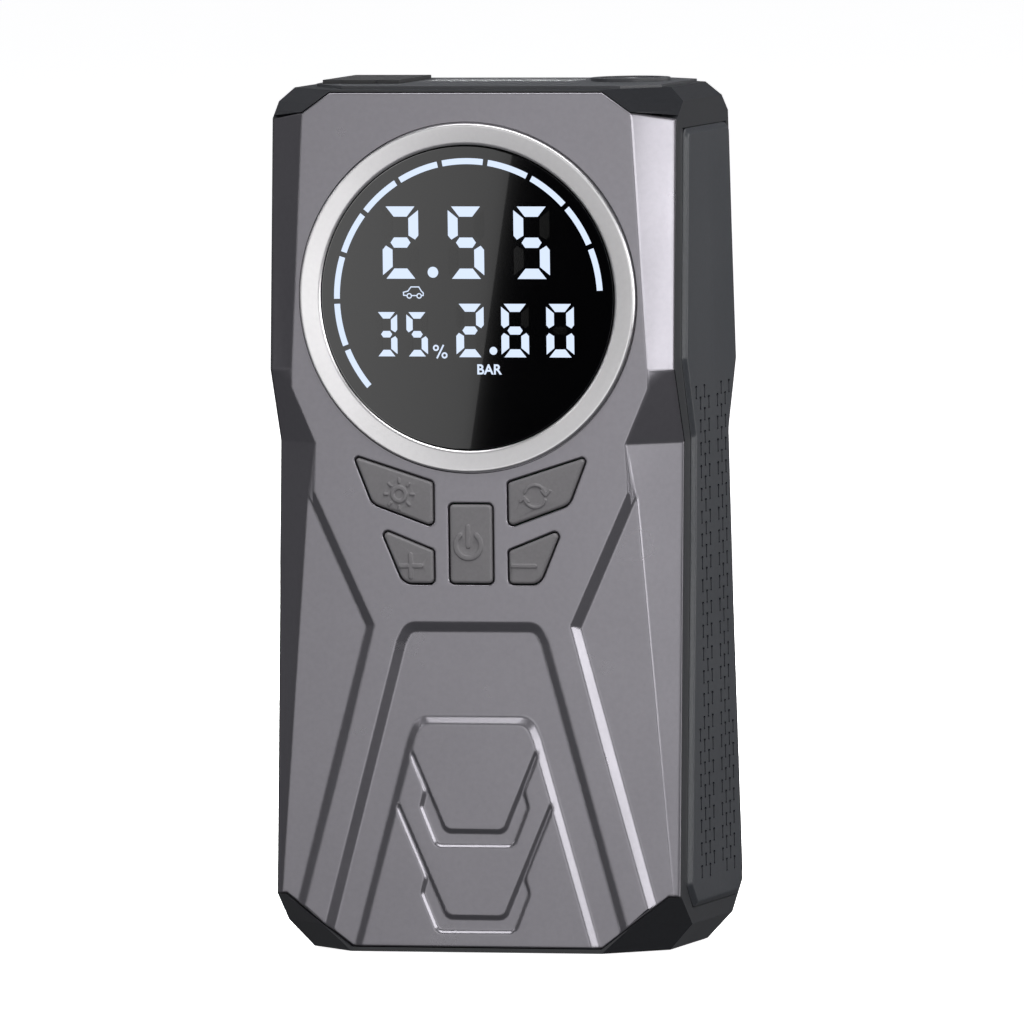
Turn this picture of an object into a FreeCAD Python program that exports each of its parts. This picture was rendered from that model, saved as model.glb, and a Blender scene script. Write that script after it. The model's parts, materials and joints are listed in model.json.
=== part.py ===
import FreeCAD, Part
import math
import os
import Sketcher

# A handheld jump starter with a built-in tyre inflator, standing on its bottom face.
# Millimetres. X runs across the face, -Y is the front with the display and keys, +Z is up.
# The origin is the middle of the footprint, on the surface that the pack stands on.

DIMENSIONS = {
    # outer shell: half sizes at each height, from the bottom up.
    # front = half width of the flat face, side = half width, rim = how far forward the side wall reaches
    "half_depth": 27.0,
    "base_height": 0.0, "base_front": 27.9, "base_side": 39.8, "base_rim": 15.0,
    "foot_height": 5.7, "foot_front": 34.3, "foot_side": 45.1, "foot_rim": 16.1,
    "hip_height": 12.1, "hip_front": 42.7, "hip_side": 45.1, "hip_rim": 24.5,
    "waist_height": 109.2, "waist_front": 34.6, "waist_side": 45.1, "waist_rim": 17.2,
    "rib_height": 121.2, "rib_front": 39.8, "rib_side": 45.1, "rib_rim": 22.7,
    "chest_height": 125.0, "chest_front": 39.6, "chest_side": 45.1, "chest_rim": 24.4,
    "neck_height": 178.6, "neck_front": 36.7, "neck_side": 45.1, "neck_rim": 20.3,
    "brow_height": 180.25, "brow_front": 36.6, "brow_side": 45.1, "brow_rim": 18.0,
    "crown_height": 182.1, "crown_front": 34.0, "crown_side": 45.1, "crown_rim": 15.4,
    "deck_height": 185.0, "deck_front": 29.8, "deck_side": 42.0, "deck_rim": 13.7,
    "wall": 2.4,
    "cover_foot": 0.9, "cover_head": 184.6, "cover_head_half": 30.4,
    # relief of the face
    "flank_drop": 1.1, "arch_drop": 0.9, "chevron_drop": 0.5,
    # round display
    "display_height": 140.5, "ring_outer": 37.4, "ring_stand": 1.2, "lens_radius": 32.55,
    "display_hole": 33.9, "lens_thick": 1.4, "board_disc": 34.5,
    # keys
    "key_gap": 0.3, "key_lip": 0.8, "key_stand": 0.4, "key_travel": 0.6,
    "board_front": -19.0, "board_thick": 1.6,
    # vent panels on both sides
    "panel_face": 46.3, "panel_seat": 44.3, "panel_middle": 1.2,
    "vent_wide": 0.7, "vent_long": 3.0, "vent_pitch": 4.9, "vent_top": 118.5, "vent_column": 3.2,
    # top
    "plateau_top": 185.6, "boss_top": 186.3, "flap_top": 186.4, "flap_thick": 1.1,
    # jump socket
    "socket_x": -28.5, "socket_y": 3.0, "contact_gap": 5.0, "contact_radius": 2.4,
    # air pump
    "pump_x": 27.7, "pump_y": 5.0, "crank_height": 124.0, "crank_throw": 6.0,
    "bore_radius": 10.0, "rod_length": 35.0, "gear_start": 18.7, "gear_wide": 4.0,
    "gear_module": 0.8, "pinion_teeth": 10, "crank_teeth": 44,
    "motor_radius": 12.2, "motor_front": 14.2, "motor_long": 31.7,
    # battery
    "cell_wide": 62.0, "cell_thick": 9.4, "cell_tall": 72.0, "cell_foot": 9.6, "cell_gap": 1.2,
    # fasteners
    "tower_radius": 3.8, "well_radius": 2.9, "boss_radius": 3.0,
}
STATIONS = ["base", "foot", "hip", "waist", "rib", "chest", "neck", "brow", "crown", "deck"]

os.makedirs("parts", exist_ok=True)
doc = FreeCAD.newDocument("jump_starter")
sheet = doc.addObject("Spreadsheet::Sheet", "Dimensions")
for row, (alias, value) in enumerate(DIMENSIONS.items(), start=1):
    sheet.set("A%d" % row, alias)
    sheet.set("B%d" % row, str(value))
    sheet.setAlias("B%d" % row, alias)
doc.recompute()


# ---------------------------------------------------------------- sizes that stay bound to the sheet
class Size(float):
    """A number that remembers the spreadsheet expression it comes from."""

    def __new__(cls, value, text):
        size = super().__new__(cls, value)
        size.text = text
        return size

    def __add__(self, other):
        return Size(float(self) + float(other), "(%s + %s)" % (words(self), words(other)))

    def __radd__(self, other):
        return Size(float(other) + float(self), "(%s + %s)" % (words(other), words(self)))

    def __sub__(self, other):
        return Size(float(self) - float(other), "(%s - %s)" % (words(self), words(other)))

    def __rsub__(self, other):
        return Size(float(other) - float(self), "(%s - %s)" % (words(other), words(self)))

    def __mul__(self, other):
        return Size(float(self) * float(other), "(%s * %s)" % (words(self), words(other)))

    def __rmul__(self, other):
        return Size(float(other) * float(self), "(%s * %s)" % (words(other), words(self)))

    def __truediv__(self, other):
        return Size(float(self) / float(other), "(%s / %s)" % (words(self), words(other)))

    def __neg__(self):
        return Size(-float(self), "(0 - %s)" % words(self))


def words(value):
    return value.text if isinstance(value, Size) else "(%r)" % float(value)


def dim(alias):
    return Size(float(sheet.get(alias)), "Dimensions." + alias)


def bind(item, name, value):
    """Set a property, and keep it tied to the sheet when the value comes from there."""
    if isinstance(value, Size):
        item.setExpression(name, value.text)
    elif "." not in name:
        setattr(item, name, float(value))
    elif float(value):
        item.setExpression(name, words(value))


# ---------------------------------------------------------------- sketches and features
NODES = {}
PLANE_OF = {"x": "YZ_Plane", "y": "XZ_Plane", "z": "XY_Plane"}


def new_body(label):
    item = doc.addObject("PartDesign::Body", "body_" + label)
    item.Label = "body_" + label
    return item


def finish(label, item):
    """Name a sub-part and keep it for export."""
    item.Label = label
    NODES[label] = item
    return item


def origin_plane(item, role):
    return [plane for plane in item.Origin.OriginFeatures if plane.Role == role][0]


def blank_sketch(item, role, offset):
    sketch = item.newObject("Sketcher::SketchObject", "sketch")
    sketch.AttachmentSupport = (origin_plane(item, role), [""])
    sketch.MapMode = "FlatFace"
    for name, value in zip(("x", "y", "z"), offset):
        bind(sketch, "AttachmentOffset.Base." + name, value)
    return sketch


def pin_point(sketch, edge, end, point):
    """Fix one sketch point by its distance from both axes."""
    for kind, axis, value in (("DistanceX", -2, point[0]), ("DistanceY", -1, point[1])):
        if abs(value) < 1e-9:
            sketch.addConstraint(Sketcher.Constraint("PointOnObject", edge, end, axis))
            continue
        index = sketch.addConstraint(Sketcher.Constraint(kind, -1, 1, edge, end, float(value)))
        if isinstance(value, Size):
            sketch.setExpression("Constraints[%d]" % index, value.text)


def add_circle(sketch, centre, radius):
    centre_point = FreeCAD.Vector(float(centre[0]), float(centre[1]), 0)
    edge = sketch.addGeometry(Part.Circle(centre_point, FreeCAD.Vector(0, 0, 1), float(radius)))
    pin_point(sketch, edge, 3, centre)
    index = sketch.addConstraint(Sketcher.Constraint("Radius", edge, float(radius)))
    if isinstance(radius, Size):
        sketch.setExpression("Constraints[%d]" % index, radius.text)


def add_polygon(sketch, points, pinned=True):
    corners = [FreeCAD.Vector(float(u), float(v), 0) for u, v in points]
    first = sketch.GeometryCount
    count = len(corners)
    for index in range(count):
        sketch.addGeometry(Part.LineSegment(corners[index], corners[(index + 1) % count]))
    for index in range(count):
        following = first + (index + 1) % count
        sketch.addConstraint(Sketcher.Constraint("Coincident", first + index, 2, following, 1))
    if pinned:
        for index in range(count):
            pin_point(sketch, first + index, 1, points[index])


def fill_sketch(sketch, loops, pinned=True):
    """Each loop is a list of corners, or a circle as (centre, radius)."""
    for loop in loops:
        if isinstance(loop, tuple):
            add_circle(sketch, loop[0], loop[1])
        else:
            add_polygon(sketch, loop, pinned)


def box_loop(low_u, low_v, high_u, high_v):
    return [(low_u, low_v), (high_u, low_v), (high_u, high_v), (low_u, high_v)]


def prism(item, axis, loops, low, high, pinned=True):
    """Pad the loops along an axis from low to high. Loops on y hold (X, Z), on x (Y, Z), on z (X, Y)."""
    level = -high if axis == "y" else low
    sketch = blank_sketch(item, PLANE_OF[axis], (0, 0, level))
    fill_sketch(sketch, loops, pinned)
    pad = item.newObject("PartDesign::Pad", "pad")
    pad.Profile = sketch
    bind(pad, "Length", high - low)
    item.Tip = pad
    return pad


def cut(item, axis, loops, low, high, pinned=True):
    """Pocket the loops along an axis from low to high."""
    level = -low if axis == "y" else high
    sketch = blank_sketch(item, PLANE_OF[axis], (0, 0, level))
    fill_sketch(sketch, loops, pinned)
    pocket = item.newObject("PartDesign::Pocket", "pocket")
    pocket.Profile = sketch
    bind(pocket, "Length", high - low)
    item.Tip = pocket
    return pocket


def turned(item, axis, origin, profile):
    """Revolve a closed (along, radius) profile about a line through origin, parallel to an axis."""
    if axis == "y":
        sketch = blank_sketch(item, "YZ_Plane", (0, origin[2], origin[0]))
        points = profile
    elif axis == "x":
        sketch = blank_sketch(item, "XZ_Plane", (0, origin[2], -origin[1]))
        points = profile
    else:
        sketch = blank_sketch(item, "XZ_Plane", (origin[0], 0, -origin[1]))
        points = [(radius, along) for along, radius in profile]
    add_polygon(sketch, points)
    revolution = item.newObject("PartDesign::Revolution", "turned")
    revolution.Profile = sketch
    revolution.ReferenceAxis = (sketch, ["V_Axis" if axis == "z" else "H_Axis"])
    revolution.Angle = 360
    item.Tip = revolution
    return revolution


def fuse_all(name, items):
    group = doc.addObject("Part::MultiFuse", name)
    group.Shapes = items
    return group


def compound(label, items):
    group = doc.addObject("Part::Compound", "group_" + label)
    group.Links = items
    return finish(label, group)


def block(low, high):
    """A Part box between two corners."""
    item = doc.addObject("Part::Box", "block")
    for name, start, end in zip(("Length", "Width", "Height"), low, high):
        bind(item, name, end - start)
    for name, start in zip(("x", "y", "z"), low):
        bind(item, "Placement.Base." + name, start)
    return item


def rod(axis, start, radius, length):
    """A Part cylinder that runs from start along +X, +Y or +Z."""
    item = doc.addObject("Part::Cylinder", "rod")
    bind(item, "Radius", radius)
    bind(item, "Height", length)
    turn = {"x": FreeCAD.Rotation(FreeCAD.Vector(0, 1, 0), 90),
            "y": FreeCAD.Rotation(FreeCAD.Vector(1, 0, 0), -90),
            "z": FreeCAD.Rotation()}[axis]
    item.Placement = FreeCAD.Placement(FreeCAD.Vector(0, 0, 0), turn)
    for name, value in zip(("x", "y", "z"), start):
        bind(item, "Placement.Base." + name, value)
    return item


def mirrored_x(points):
    """Close a right-hand outline with its mirror image."""
    return points + [(-u, v) for u, v in reversed(points)]


def grow(points, distance):
    """Move every edge of a polygon outward, with sharp corners."""
    count = len(points)
    area = sum(points[i][0] * points[(i + 1) % count][1] - points[(i + 1) % count][0] * points[i][1]
               for i in range(count))
    side = 1.0 if area > 0 else -1.0
    lines = []
    for index in range(count):
        (u0, v0), (u1, v1) = points[index], points[(index + 1) % count]
        length = math.hypot(u1 - u0, v1 - v0)
        normal = (side * (v1 - v0) / length, -side * (u1 - u0) / length)
        lines.append((normal, normal[0] * u0 + normal[1] * v0 + distance))
    grown = []
    for index in range(count):
        (a, b), c = lines[index - 1]
        (d, e), f = lines[index]
        det = a * e - b * d
        grown.append(((c * e - b * f) / det, (a * f - c * d) / det))
    return grown


# ---------------------------------------------------------------- outer shell
half_depth = dim("half_depth")
wall = dim("wall")
deck = dim("deck_height")


def section_loop(front, side, rim, depth):
    quarter = [(front, -depth), (side, -rim), (side, rim), (front, depth)]
    return quarter + [(-u, v) for u, v in reversed(quarter)]


def loft_section(item, level, loop):
    sketch = blank_sketch(item, "XY_Plane", (0, 0, level))
    add_polygon(sketch, loop)
    return sketch


def ruled_loft(item, kind, sections):
    loft = item.newObject(kind, "loft")
    loft.Profile = sections[0]
    loft.Sections = sections[1:]
    loft.Ruled = True
    loft.Closed = False
    item.Tip = loft
    return loft


def station_at(level):
    """Half sizes of the outer shell at any height."""
    rows = [[float(dim(name + part)) for part in ("_height", "_front", "_side", "_rim")] for name in STATIONS]
    for lower, upper in zip(rows, rows[1:]):
        if lower[0] <= level <= upper[0]:
            share = (level - lower[0]) / (upper[0] - lower[0])
            return [a + share * (b - a) for a, b in zip(lower[1:], upper[1:])]
    return rows[-1][1:]


def cavity_corner(level):
    """The outer section at a height, moved in by one wall."""
    front, side, rim = station_at(level)
    depth = float(half_depth)
    length = math.hypot(side - front, depth - rim)
    normal = ((depth - rim) / length, (side - front) / length)
    offset = normal[0] * front + normal[1] * depth - float(wall)
    inner_depth = depth - float(wall)
    inner_side = side - float(wall)
    inner_front = (offset - normal[1] * inner_depth) / normal[0]
    inner_rim = (offset - normal[0] * inner_side) / normal[1]
    return inner_front, inner_side, inner_rim, inner_depth


def build_shell():
    """The hollow outer shape that the front cover and the rear case are cut from."""
    item = new_body("shell")
    outer = []
    for name in STATIONS:
        loop = section_loop(dim(name + "_front"), dim(name + "_side"), dim(name + "_rim"), half_depth)
        outer.append(loft_section(item, dim(name + "_height"), loop))
    ruled_loft(item, "PartDesign::AdditiveLoft", outer)
    levels = [wall] + [dim(name + "_height") for name in STATIONS[1:-2]] + [deck - wall]
    inner = [loft_section(item, level, section_loop(*cavity_corner(float(level)))) for level in levels]
    ruled_loft(item, "PartDesign::SubtractiveLoft", inner)
    return item


def build_cover_block():
    """The space that belongs to the front cover: its outline from the front, and its edge from the side."""
    outline = new_body("cover_outline")
    beyond = dim("hip_side") + 5
    right = [(dim("base_front"), dim("cover_foot")), (dim("hip_front"), dim("hip_height")),
             (beyond, dim("hip_height")), (beyond, dim("neck_height")),
             (dim("brow_front"), dim("brow_height")), (dim("cover_head_half"), dim("cover_head"))]
    prism(outline, "y", [mirrored_x(right)], -half_depth - 5, -half_depth + 15)
    edge = new_body("cover_edge")
    ahead = -half_depth - 5
    line = [(ahead, -5), (-dim("hip_rim"), -5), (-dim("hip_rim"), dim("hip_height")),
            (-dim("waist_rim"), dim("waist_height")), (-dim("chest_rim"), dim("chest_height")),
            (-dim("neck_rim"), dim("neck_height")), (-dim("brow_rim"), dim("brow_height")),
            (-dim("brow_rim"), deck + 5), (ahead, deck + 5)]
    prism(edge, "x", [line], -beyond - 1, beyond + 1)
    common = doc.addObject("Part::Common", "cover_block")
    common.Base = outline
    common.Tool = edge
    return common


def boolean(kind, name, base, tool):
    item = doc.addObject("Part::" + kind, name)
    item.Base = base
    item.Tool = tool
    return item


# ---------------------------------------------------------------- face layout, seen from the front: (X, Z)
KEYS = {
    "button_light": [(-26.4, 106.9), (-8.13, 101.1), (-8.13, 91.05), (-22.05, 96.1)],
    "button_plus": [(-20.6, 91.35), (-8.15, 86.45), (-8.15, 78.95), (-15.3, 78.95)],
    "button_power": [(-5.0, 96.5), (5.0, 96.5), (5.0, 79.0), (-5.0, 79.0)],
}
KEYS["button_mode"] = [(-u, v) for u, v in reversed(KEYS["button_light"])]
KEYS["button_minus"] = [(-u, v) for u, v in reversed(KEYS["button_plus"])]
SCREWS = [(32.0, 100.0), (-32.0, 100.0), (37.0, 18.0), (-37.0, 18.0)]
BOARD_SCREWS = [(24.0, 110.5), (-24.0, 110.5), (23.0, 77.0), (-23.0, 77.0)]
FLANK = [(47.0, 98.9), (34.9, 98.9), (21.9, 70.9), (21.8, 69.5), (28.2, 45.7), (38.2, 9.75), (47.0, 9.75)]
CHANNEL = [(12.0, 70.9), (15.7, 69.9), (17.0, 66.9), (35.0, 0.9), (27.2, 0.9), (14.6, 46.0), (12.6, 49.6),
           (8.4, 50.8)]
CHEVRONS = [
    [(13.6, 43.7), (6.6, 27.8), (4.8, 26.3)],
    [(5.7, 22.5), (9.4, 25.0), (12.2, 31.2), (11.5, 34.6), (14.1, 41.2)],
    [(16.9, 32.5), (6.6, 9.2), (4.8, 7.8)],
    [(5.7, 4.0), (9.4, 6.3), (12.2, 12.5), (11.5, 16.0), (17.0, 29.0)],
]


def key_middle(name):
    points = KEYS[name]
    return (sum(u for u, v in points) / len(points), sum(v for u, v in points) / len(points))


def build_front_cover(shell, cover_block):
    item = new_body("front_cover")
    item.BaseFeature = boolean("Common", "cover_blank", shell, cover_block)
    face = -half_depth
    back = face + wall
    ahead = face - 1
    cut(item, "y", [FLANK, [(-u, v) for u, v in reversed(FLANK)]], ahead, face + dim("flank_drop"))
    foot = dim("cover_foot")
    channel = [(u, v if v > 1 else foot - 1) for u, v in CHANNEL]
    cut(item, "y", [mirrored_x(channel)], ahead, face + dim("arch_drop"))
    for upper, lower in (CHEVRONS[:2], CHEVRONS[2:]):
        over = upper + [(-u, v) for u, v in reversed(upper)]
        under = [(-u, v) for u, v in reversed(lower)] + lower
        cut(item, "y", [over + under], ahead, face + dim("chevron_drop"))
    for u, v in SCREWS:
        prism(item, "y", [((u, v), dim("boss_radius"))], back - 0.6, -12.1)
        cut(item, "y", [((u, v), 1.2)], -21.0, -11.0)
    for u, v in BOARD_SCREWS:
        prism(item, "y", [((u, v), 2.4)], back - 0.6, dim("board_front"))
        cut(item, "y", [((u, v), 0.85)], -23.5, dim("board_front") + 1)
    cut(item, "y", [((0, dim("display_height")), dim("display_hole"))], ahead, back + 1)
    for name in KEYS:
        cut(item, "y", [KEYS[name]], ahead, back + 1)
    return finish("front_cover", item)


# ---------------------------------------------------------------- vent panels
PANEL_FRONT = [(-16.7, 9.3), (-21.3, 14.0), (-15.8, 80.7), (-14.0, 110.0), (-20.5, 127.1), (-17.1, 176.2)]


def panel_loop(margin):
    """The panel outline as (Y, Z), symmetric about the middle of the panel."""
    front = [(u - margin, v) for u, v in PANEL_FRONT]
    front[0] = (front[0][0], front[0][1] - margin)
    front[-1] = (front[-1][0], front[-1][1] + margin)
    middle = dim("panel_middle")
    return [(middle - abs(u), v) for u, v in front] + [(middle + abs(u), v) for u, v in reversed(front)]


def vent_slots():
    """Six columns of slits, every other one half a pitch up, and one more each side over the lowest third."""
    pitch = float(dim("vent_pitch"))
    middle = float(dim("panel_middle")) + 0.2
    half_wide = float(dim("vent_wide")) / 2
    loops = []
    for side in (-1, 1):
        for column in range(4):
            across = middle + side * (3.45 + column * float(dim("vent_column")))
            for row in range(22):
                top = float(dim("vent_top")) - row * pitch + (column % 2) * pitch / 2
                if top < 16.5 or (column == 3 and row > 0 and top > 52.0):
                    continue
                low = top - float(dim("vent_long"))
                loops.append(box_loop(across - half_wide, low, across + half_wide, top))
    return loops


def build_side_panels():
    right = new_body("side_panel_right")
    seat, face = dim("panel_seat"), dim("panel_face")
    prism(right, "x", [panel_loop(0)], seat, face)
    cut(right, "x", vent_slots(), seat - 1, face + 1, pinned=False)
    finish("side_panel_right", right)
    mirror = doc.addObject("Part::Mirroring", "panel_mirror")
    mirror.Source = right
    mirror.Normal = FreeCAD.Vector(1, 0, 0)
    left = new_body("side_panel_left")
    left.BaseFeature = mirror
    cut(left, "x", [box_loop(-6.5, 122.0, 7.5, 157.0)], -face - 1, -seat + 1)
    finish("side_panel_left", left)


# ---------------------------------------------------------------- rear case and top
USB_A = (0.0, 146.0)
USB_C = (1.25, 131.5)


def build_rear_case(shell, cover_block):
    item = new_body("rear_case")
    item.BaseFeature = boolean("Cut", "case_blank", shell, cover_block)
    inner = half_depth - wall
    for u, v in SCREWS:
        prism(item, "y", [((u, v), dim("tower_radius"))], -12.0, inner + 0.6)
        cut(item, "y", [((u, v), 1.7)], -13.0, -8.5)
        cut(item, "y", [((u, v), dim("well_radius"))], -9.0, half_depth + 1)
    seat = dim("panel_seat")
    beyond = dim("hip_side") + 2
    inside = dim("hip_side") - wall - 1
    for low, high in ((seat, beyond), (-beyond, -seat)):
        cut(item, "x", [panel_loop(0.15)], low, high)
    middle = dim("panel_middle")
    windows = [box_loop(middle - 13.0, low, middle + 13.0, low + 29.5) for low in (19.0, 52.5, 86.0)]
    for low, high in ((inside, beyond), (-beyond, -inside)):
        cut(item, "x", windows, low, high)
    usb_holes = [box_loop(USB_A[0] - 3.05, USB_A[1] - 6.8, USB_A[0] + 3.05, USB_A[1] + 6.8),
                 box_loop(USB_C[0] - 1.85, USB_C[1] - 4.7, USB_C[0] + 1.85, USB_C[1] + 4.7)]
    cut(item, "x", usb_holes, -beyond, -inside)
    x, y = dim("socket_x"), dim("socket_y")
    socket_hole = box_loop(x - 5.7, y - 10.7, x + 5.7, y + 10.7)
    lens_hole = box_loop(-17.0, 3.0, 15.0, 13.0)
    outlet_hole = ((dim("pump_x"), dim("pump_y")), 5.4)
    cut(item, "z", [socket_hole, lens_hole, outlet_hole], deck - wall - 1, deck + 1)
    pads = [((u, v), 6.0) for u, v in REAR_PADS]
    cut(item, "y", pads, half_depth - 0.8, half_depth + 1)
    return finish("rear_case", item)


REAR_PADS = [(30.0, 165.0), (-30.0, 165.0), (33.0, 38.0), (-33.0, 38.0)]


def build_rear_pads():
    compound("rear_pads", [rod("y", (u, half_depth - 0.8, v), 5.9, 2.0) for u, v in REAR_PADS])


def build_top_panel():
    item = new_body("top_panel")
    outline = [(-29.0, -22.0), (33.0, -22.0), (40.0, -14.0), (40.0, 14.0), (33.0, 20.0), (-33.0, 20.0),
               (-40.0, 14.0), (-38.5, -9.0)]
    prism(item, "z", [outline], deck, dim("plateau_top"))
    prism(item, "z", [((dim("pump_x"), dim("pump_y")), 8.6)], deck, dim("boss_top"))
    flap_window = box_loop(-37.3, -10.4, -19.7, 16.5)
    lens_window = box_loop(-18.2, 1.8, 16.2, 14.2)
    outlet_window = ((dim("pump_x"), dim("pump_y")), 6.6)
    cut(item, "z", [flap_window, lens_window, outlet_window], deck - 1, dim("boss_top") + 1)
    finish("top_panel", item)


def build_socket_flap():
    """Rubber cover over the jump socket. It swings up about its rear edge."""
    item = new_body("socket_flap")
    top = dim("flap_top")
    under = top - dim("flap_thick")
    prism(item, "z", [box_loop(-37.0, -9.5, -20.0, 15.5)], under, top)
    prism(item, "z", [box_loop(-32.0, -10.0, -25.0, -9.5)], under, top)
    finish("socket_flap", item)


def build_usb_flap():
    """Rubber cover over the charging ports. It swings out about its rear edge."""
    item = new_body("usb_flap")
    face = -dim("panel_face")
    prism(item, "x", [box_loop(-6.0, 122.5, 6.0, 156.5)], face, face + dim("flap_thick"))
    finish("usb_flap", item)


# ---------------------------------------------------------------- display and keys
def build_display():
    face = -half_depth
    height = dim("display_height")
    hub = (0, 0, height)
    radius = dim("lens_radius")
    outer = dim("ring_outer")
    front = face - dim("ring_stand")
    ledge = face + 0.7
    bezel = new_body("display_bezel")
    turned(bezel, "y", hub, [(face, outer), (front + 0.3, outer), (front, outer - 0.4),
                             (front + 0.35, radius + 0.15), (ledge, radius + 0.15), (ledge, radius - 1.1),
                             (face + 3.0, radius - 1.1), (face + 3.0, radius + 1.15), (face, radius + 1.15)])
    finish("display_bezel", bezel)
    lens = new_body("display_lens")
    prism(lens, "y", [((0, height), radius)], ledge - dim("lens_thick"), ledge)
    finish("display_lens", lens)
    gasket = new_body("display_gasket")
    prism(gasket, "y", [((0, height), 31.2), ((0, height), 29.8)], ledge, ledge + 0.7)
    finish("display_gasket", gasket)
    module = new_body("display_module")
    prism(module, "y", [((0, height), 31.2)], ledge + 0.7, dim("board_front"))
    finish("display_module", module)


def build_control_board():
    board = new_body("control_pcb")
    front = dim("board_front")
    back = front + dim("board_thick")
    prism(board, "y", [((0, dim("display_height")), dim("board_disc"))], front, back)
    prism(board, "y", [box_loop(-27.0, 74.0, 27.0, 113.0)], front, back)
    cut(board, "y", [((u, v), 1.1) for u, v in BOARD_SCREWS], front - 1, back + 1)
    finish("control_pcb", board)
    screws = []
    for u, v in BOARD_SCREWS:
        head = rod("y", (u, back, v), 1.9, 1.4)
        shank = rod("y", (u, back - 5.1, v), 0.8, 5.1)
        screws.append(fuse_all("board_screw", [head, shank]))
    compound("pcb_screws", screws)
    switches = []
    for name in KEYS:
        u, v = key_middle(name)
        case = block((u - 2.6, front - 1.6, v - 2.6), (u + 2.6, front, v + 2.6))
        plunger = rod("y", (u, front - 2.3, v), 1.4, 1.0)
        switches.append(fuse_all("switch", [case, plunger]))
    compound("tact_switches", switches)


def build_keys():
    """Each key slides straight in; a lip behind the cover holds it."""
    face = -half_depth
    lip_front = face + wall + 0.3
    lip_back = lip_front + 0.8
    plunger_top = dim("board_front") - 2.3
    for name, points in KEYS.items():
        item = new_body(name)
        cap = grow(points, -float(dim("key_gap")))
        lip = grow(points, float(dim("key_lip")))
        u, v = key_middle(name)
        prism(item, "y", [cap], face - dim("key_stand"), lip_front)
        prism(item, "y", [lip], lip_front, lip_back)
        prism(item, "y", [((u, v), 1.3)], lip_back, plunger_top - dim("key_travel") - 0.3)
        finish(name, item)


# ---------------------------------------------------------------- battery and power electronics
def build_battery():
    wide, thick, tall = dim("cell_wide"), dim("cell_thick"), dim("cell_tall")
    foot, gap = dim("cell_foot"), dim("cell_gap")
    first = -7.9
    pitch = thick + gap
    cells = []
    pads = []
    for index in range(3):
        start = first + index * pitch
        cells.append(block((-wide / 2, start, foot), (wide / 2, start + thick, foot + tall)))
        if index < 2:
            pads.append(block((-wide / 2 + 3, start + thick, foot + 3), (wide / 2 - 3, start + pitch, foot + tall - 3)))
    compound("battery_cells", cells)
    compound("foam_pads", pads)
    last = first + 3 * pitch - gap
    tray = new_body("battery_tray")
    outer = box_loop(-wide / 2 - 2.0, first - 1.5, wide / 2 + 2.0, last + 1.5)
    prism(tray, "z", [outer], foot - 1.2, foot + tall * 0.7)
    inner = box_loop(-wide / 2 - 0.3, first - 0.2, wide / 2 + 0.3, last + 0.2)
    cut(tray, "z", [inner], foot, foot + tall)
    prism(tray, "z", [box_loop(-22.0, -4.0, -18.0, 18.0)], wall, foot - 1.2)
    prism(tray, "z", [box_loop(18.0, -4.0, 22.0, 18.0)], wall, foot - 1.2)
    finish("battery_tray", tray)
    top = foot + tall
    bars = []
    for side, index in ((1, 0), (-1, 1)):
        start = first + index * pitch + 3
        low, high = sorted((side * 8.0, side * 20.0))
        bars.append(block((low, start, top), (high, start + pitch + 3.4, top + 0.5)))
    for side, index in ((-1, 0), (1, 2)):
        start = first + index * pitch + 3
        low, high = sorted((side * 8.0, side * 20.0))
        bars.append(block((low, start, top), (high, start + 3.4, top + 3.0)))
    compound("busbars", bars)


def build_main_board():
    back = -12.0
    front = -13.6
    board = new_body("main_pcb")
    prism(board, "y", [box_loop(-33.0, 24.0, 33.0, 80.0)], front, back)
    prism(board, "y", [box_loop(-30.0, 12.0, 30.0, 24.0)], front, back)
    finish("main_pcb", board)
    compound("power_mosfets", [block((x, front - 2.4, 62.0), (x + 6.6, front, 71.0))
                               for x in (-29.0, -19.0, -9.0, 1.0, 11.0, 21.0)])
    compound("capacitors", [rod("z", (x, front - 4.1, 34.0), 4.0, 14.0) for x in (-22.0, -11.0, 0.0)])


def build_jump_socket():
    x, y = dim("socket_x"), dim("socket_y")
    item = new_body("jump_socket")
    prism(item, "z", [box_loop(x - 6.5, y - 11.5, x + 6.5, y + 11.5)], 160.0, deck - wall)
    prism(item, "z", [box_loop(x - 5.5, y - 10.5, x + 5.5, y + 10.5)], deck - wall, deck)
    cut(item, "z", [box_loop(x - 4.6, y - 9.6, x + 4.6, y + 9.6)], 170.0, deck + 1)
    places = (y - dim("contact_gap"), y + dim("contact_gap"))
    cut(item, "z", [((x, place), dim("contact_radius")) for place in places], 159.0, 171.0)
    finish("jump_socket", item)
    compound("jump_contacts", [rod("z", (x, place, 154.0), dim("contact_radius"), 23.0) for place in places])


def build_usb():
    seat = -dim("panel_seat")
    front = seat + 0.1
    board_y = 2.9
    port_a = new_body("usb_a_port")
    u, v = USB_A
    prism(port_a, "x", [box_loop(u - 2.9, v - 6.6, board_y, v + 6.6)], front, front + 13.4)
    cut(port_a, "x", [box_loop(u - 2.5, v - 6.2, u + 2.5, v + 6.2)], front - 1, front + 12.4)
    finish("usb_a_port", port_a)
    port_c = new_body("usb_c_port")
    u, v = USB_C
    prism(port_c, "x", [box_loop(u - 1.65, v - 4.5, board_y, v + 4.5)], front, front + 7.6)
    cut(port_c, "x", [box_loop(u - 1.35, v - 4.2, u + 1.35, v + 4.2)], front - 1, front + 6.6)
    finish("usb_c_port", port_c)
    board = new_body("usb_board")
    prism(board, "y", [box_loop(-42.0, 124.5, -29.0, 154.0)], board_y, board_y + 1.4)
    finish("usb_board", board)


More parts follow.
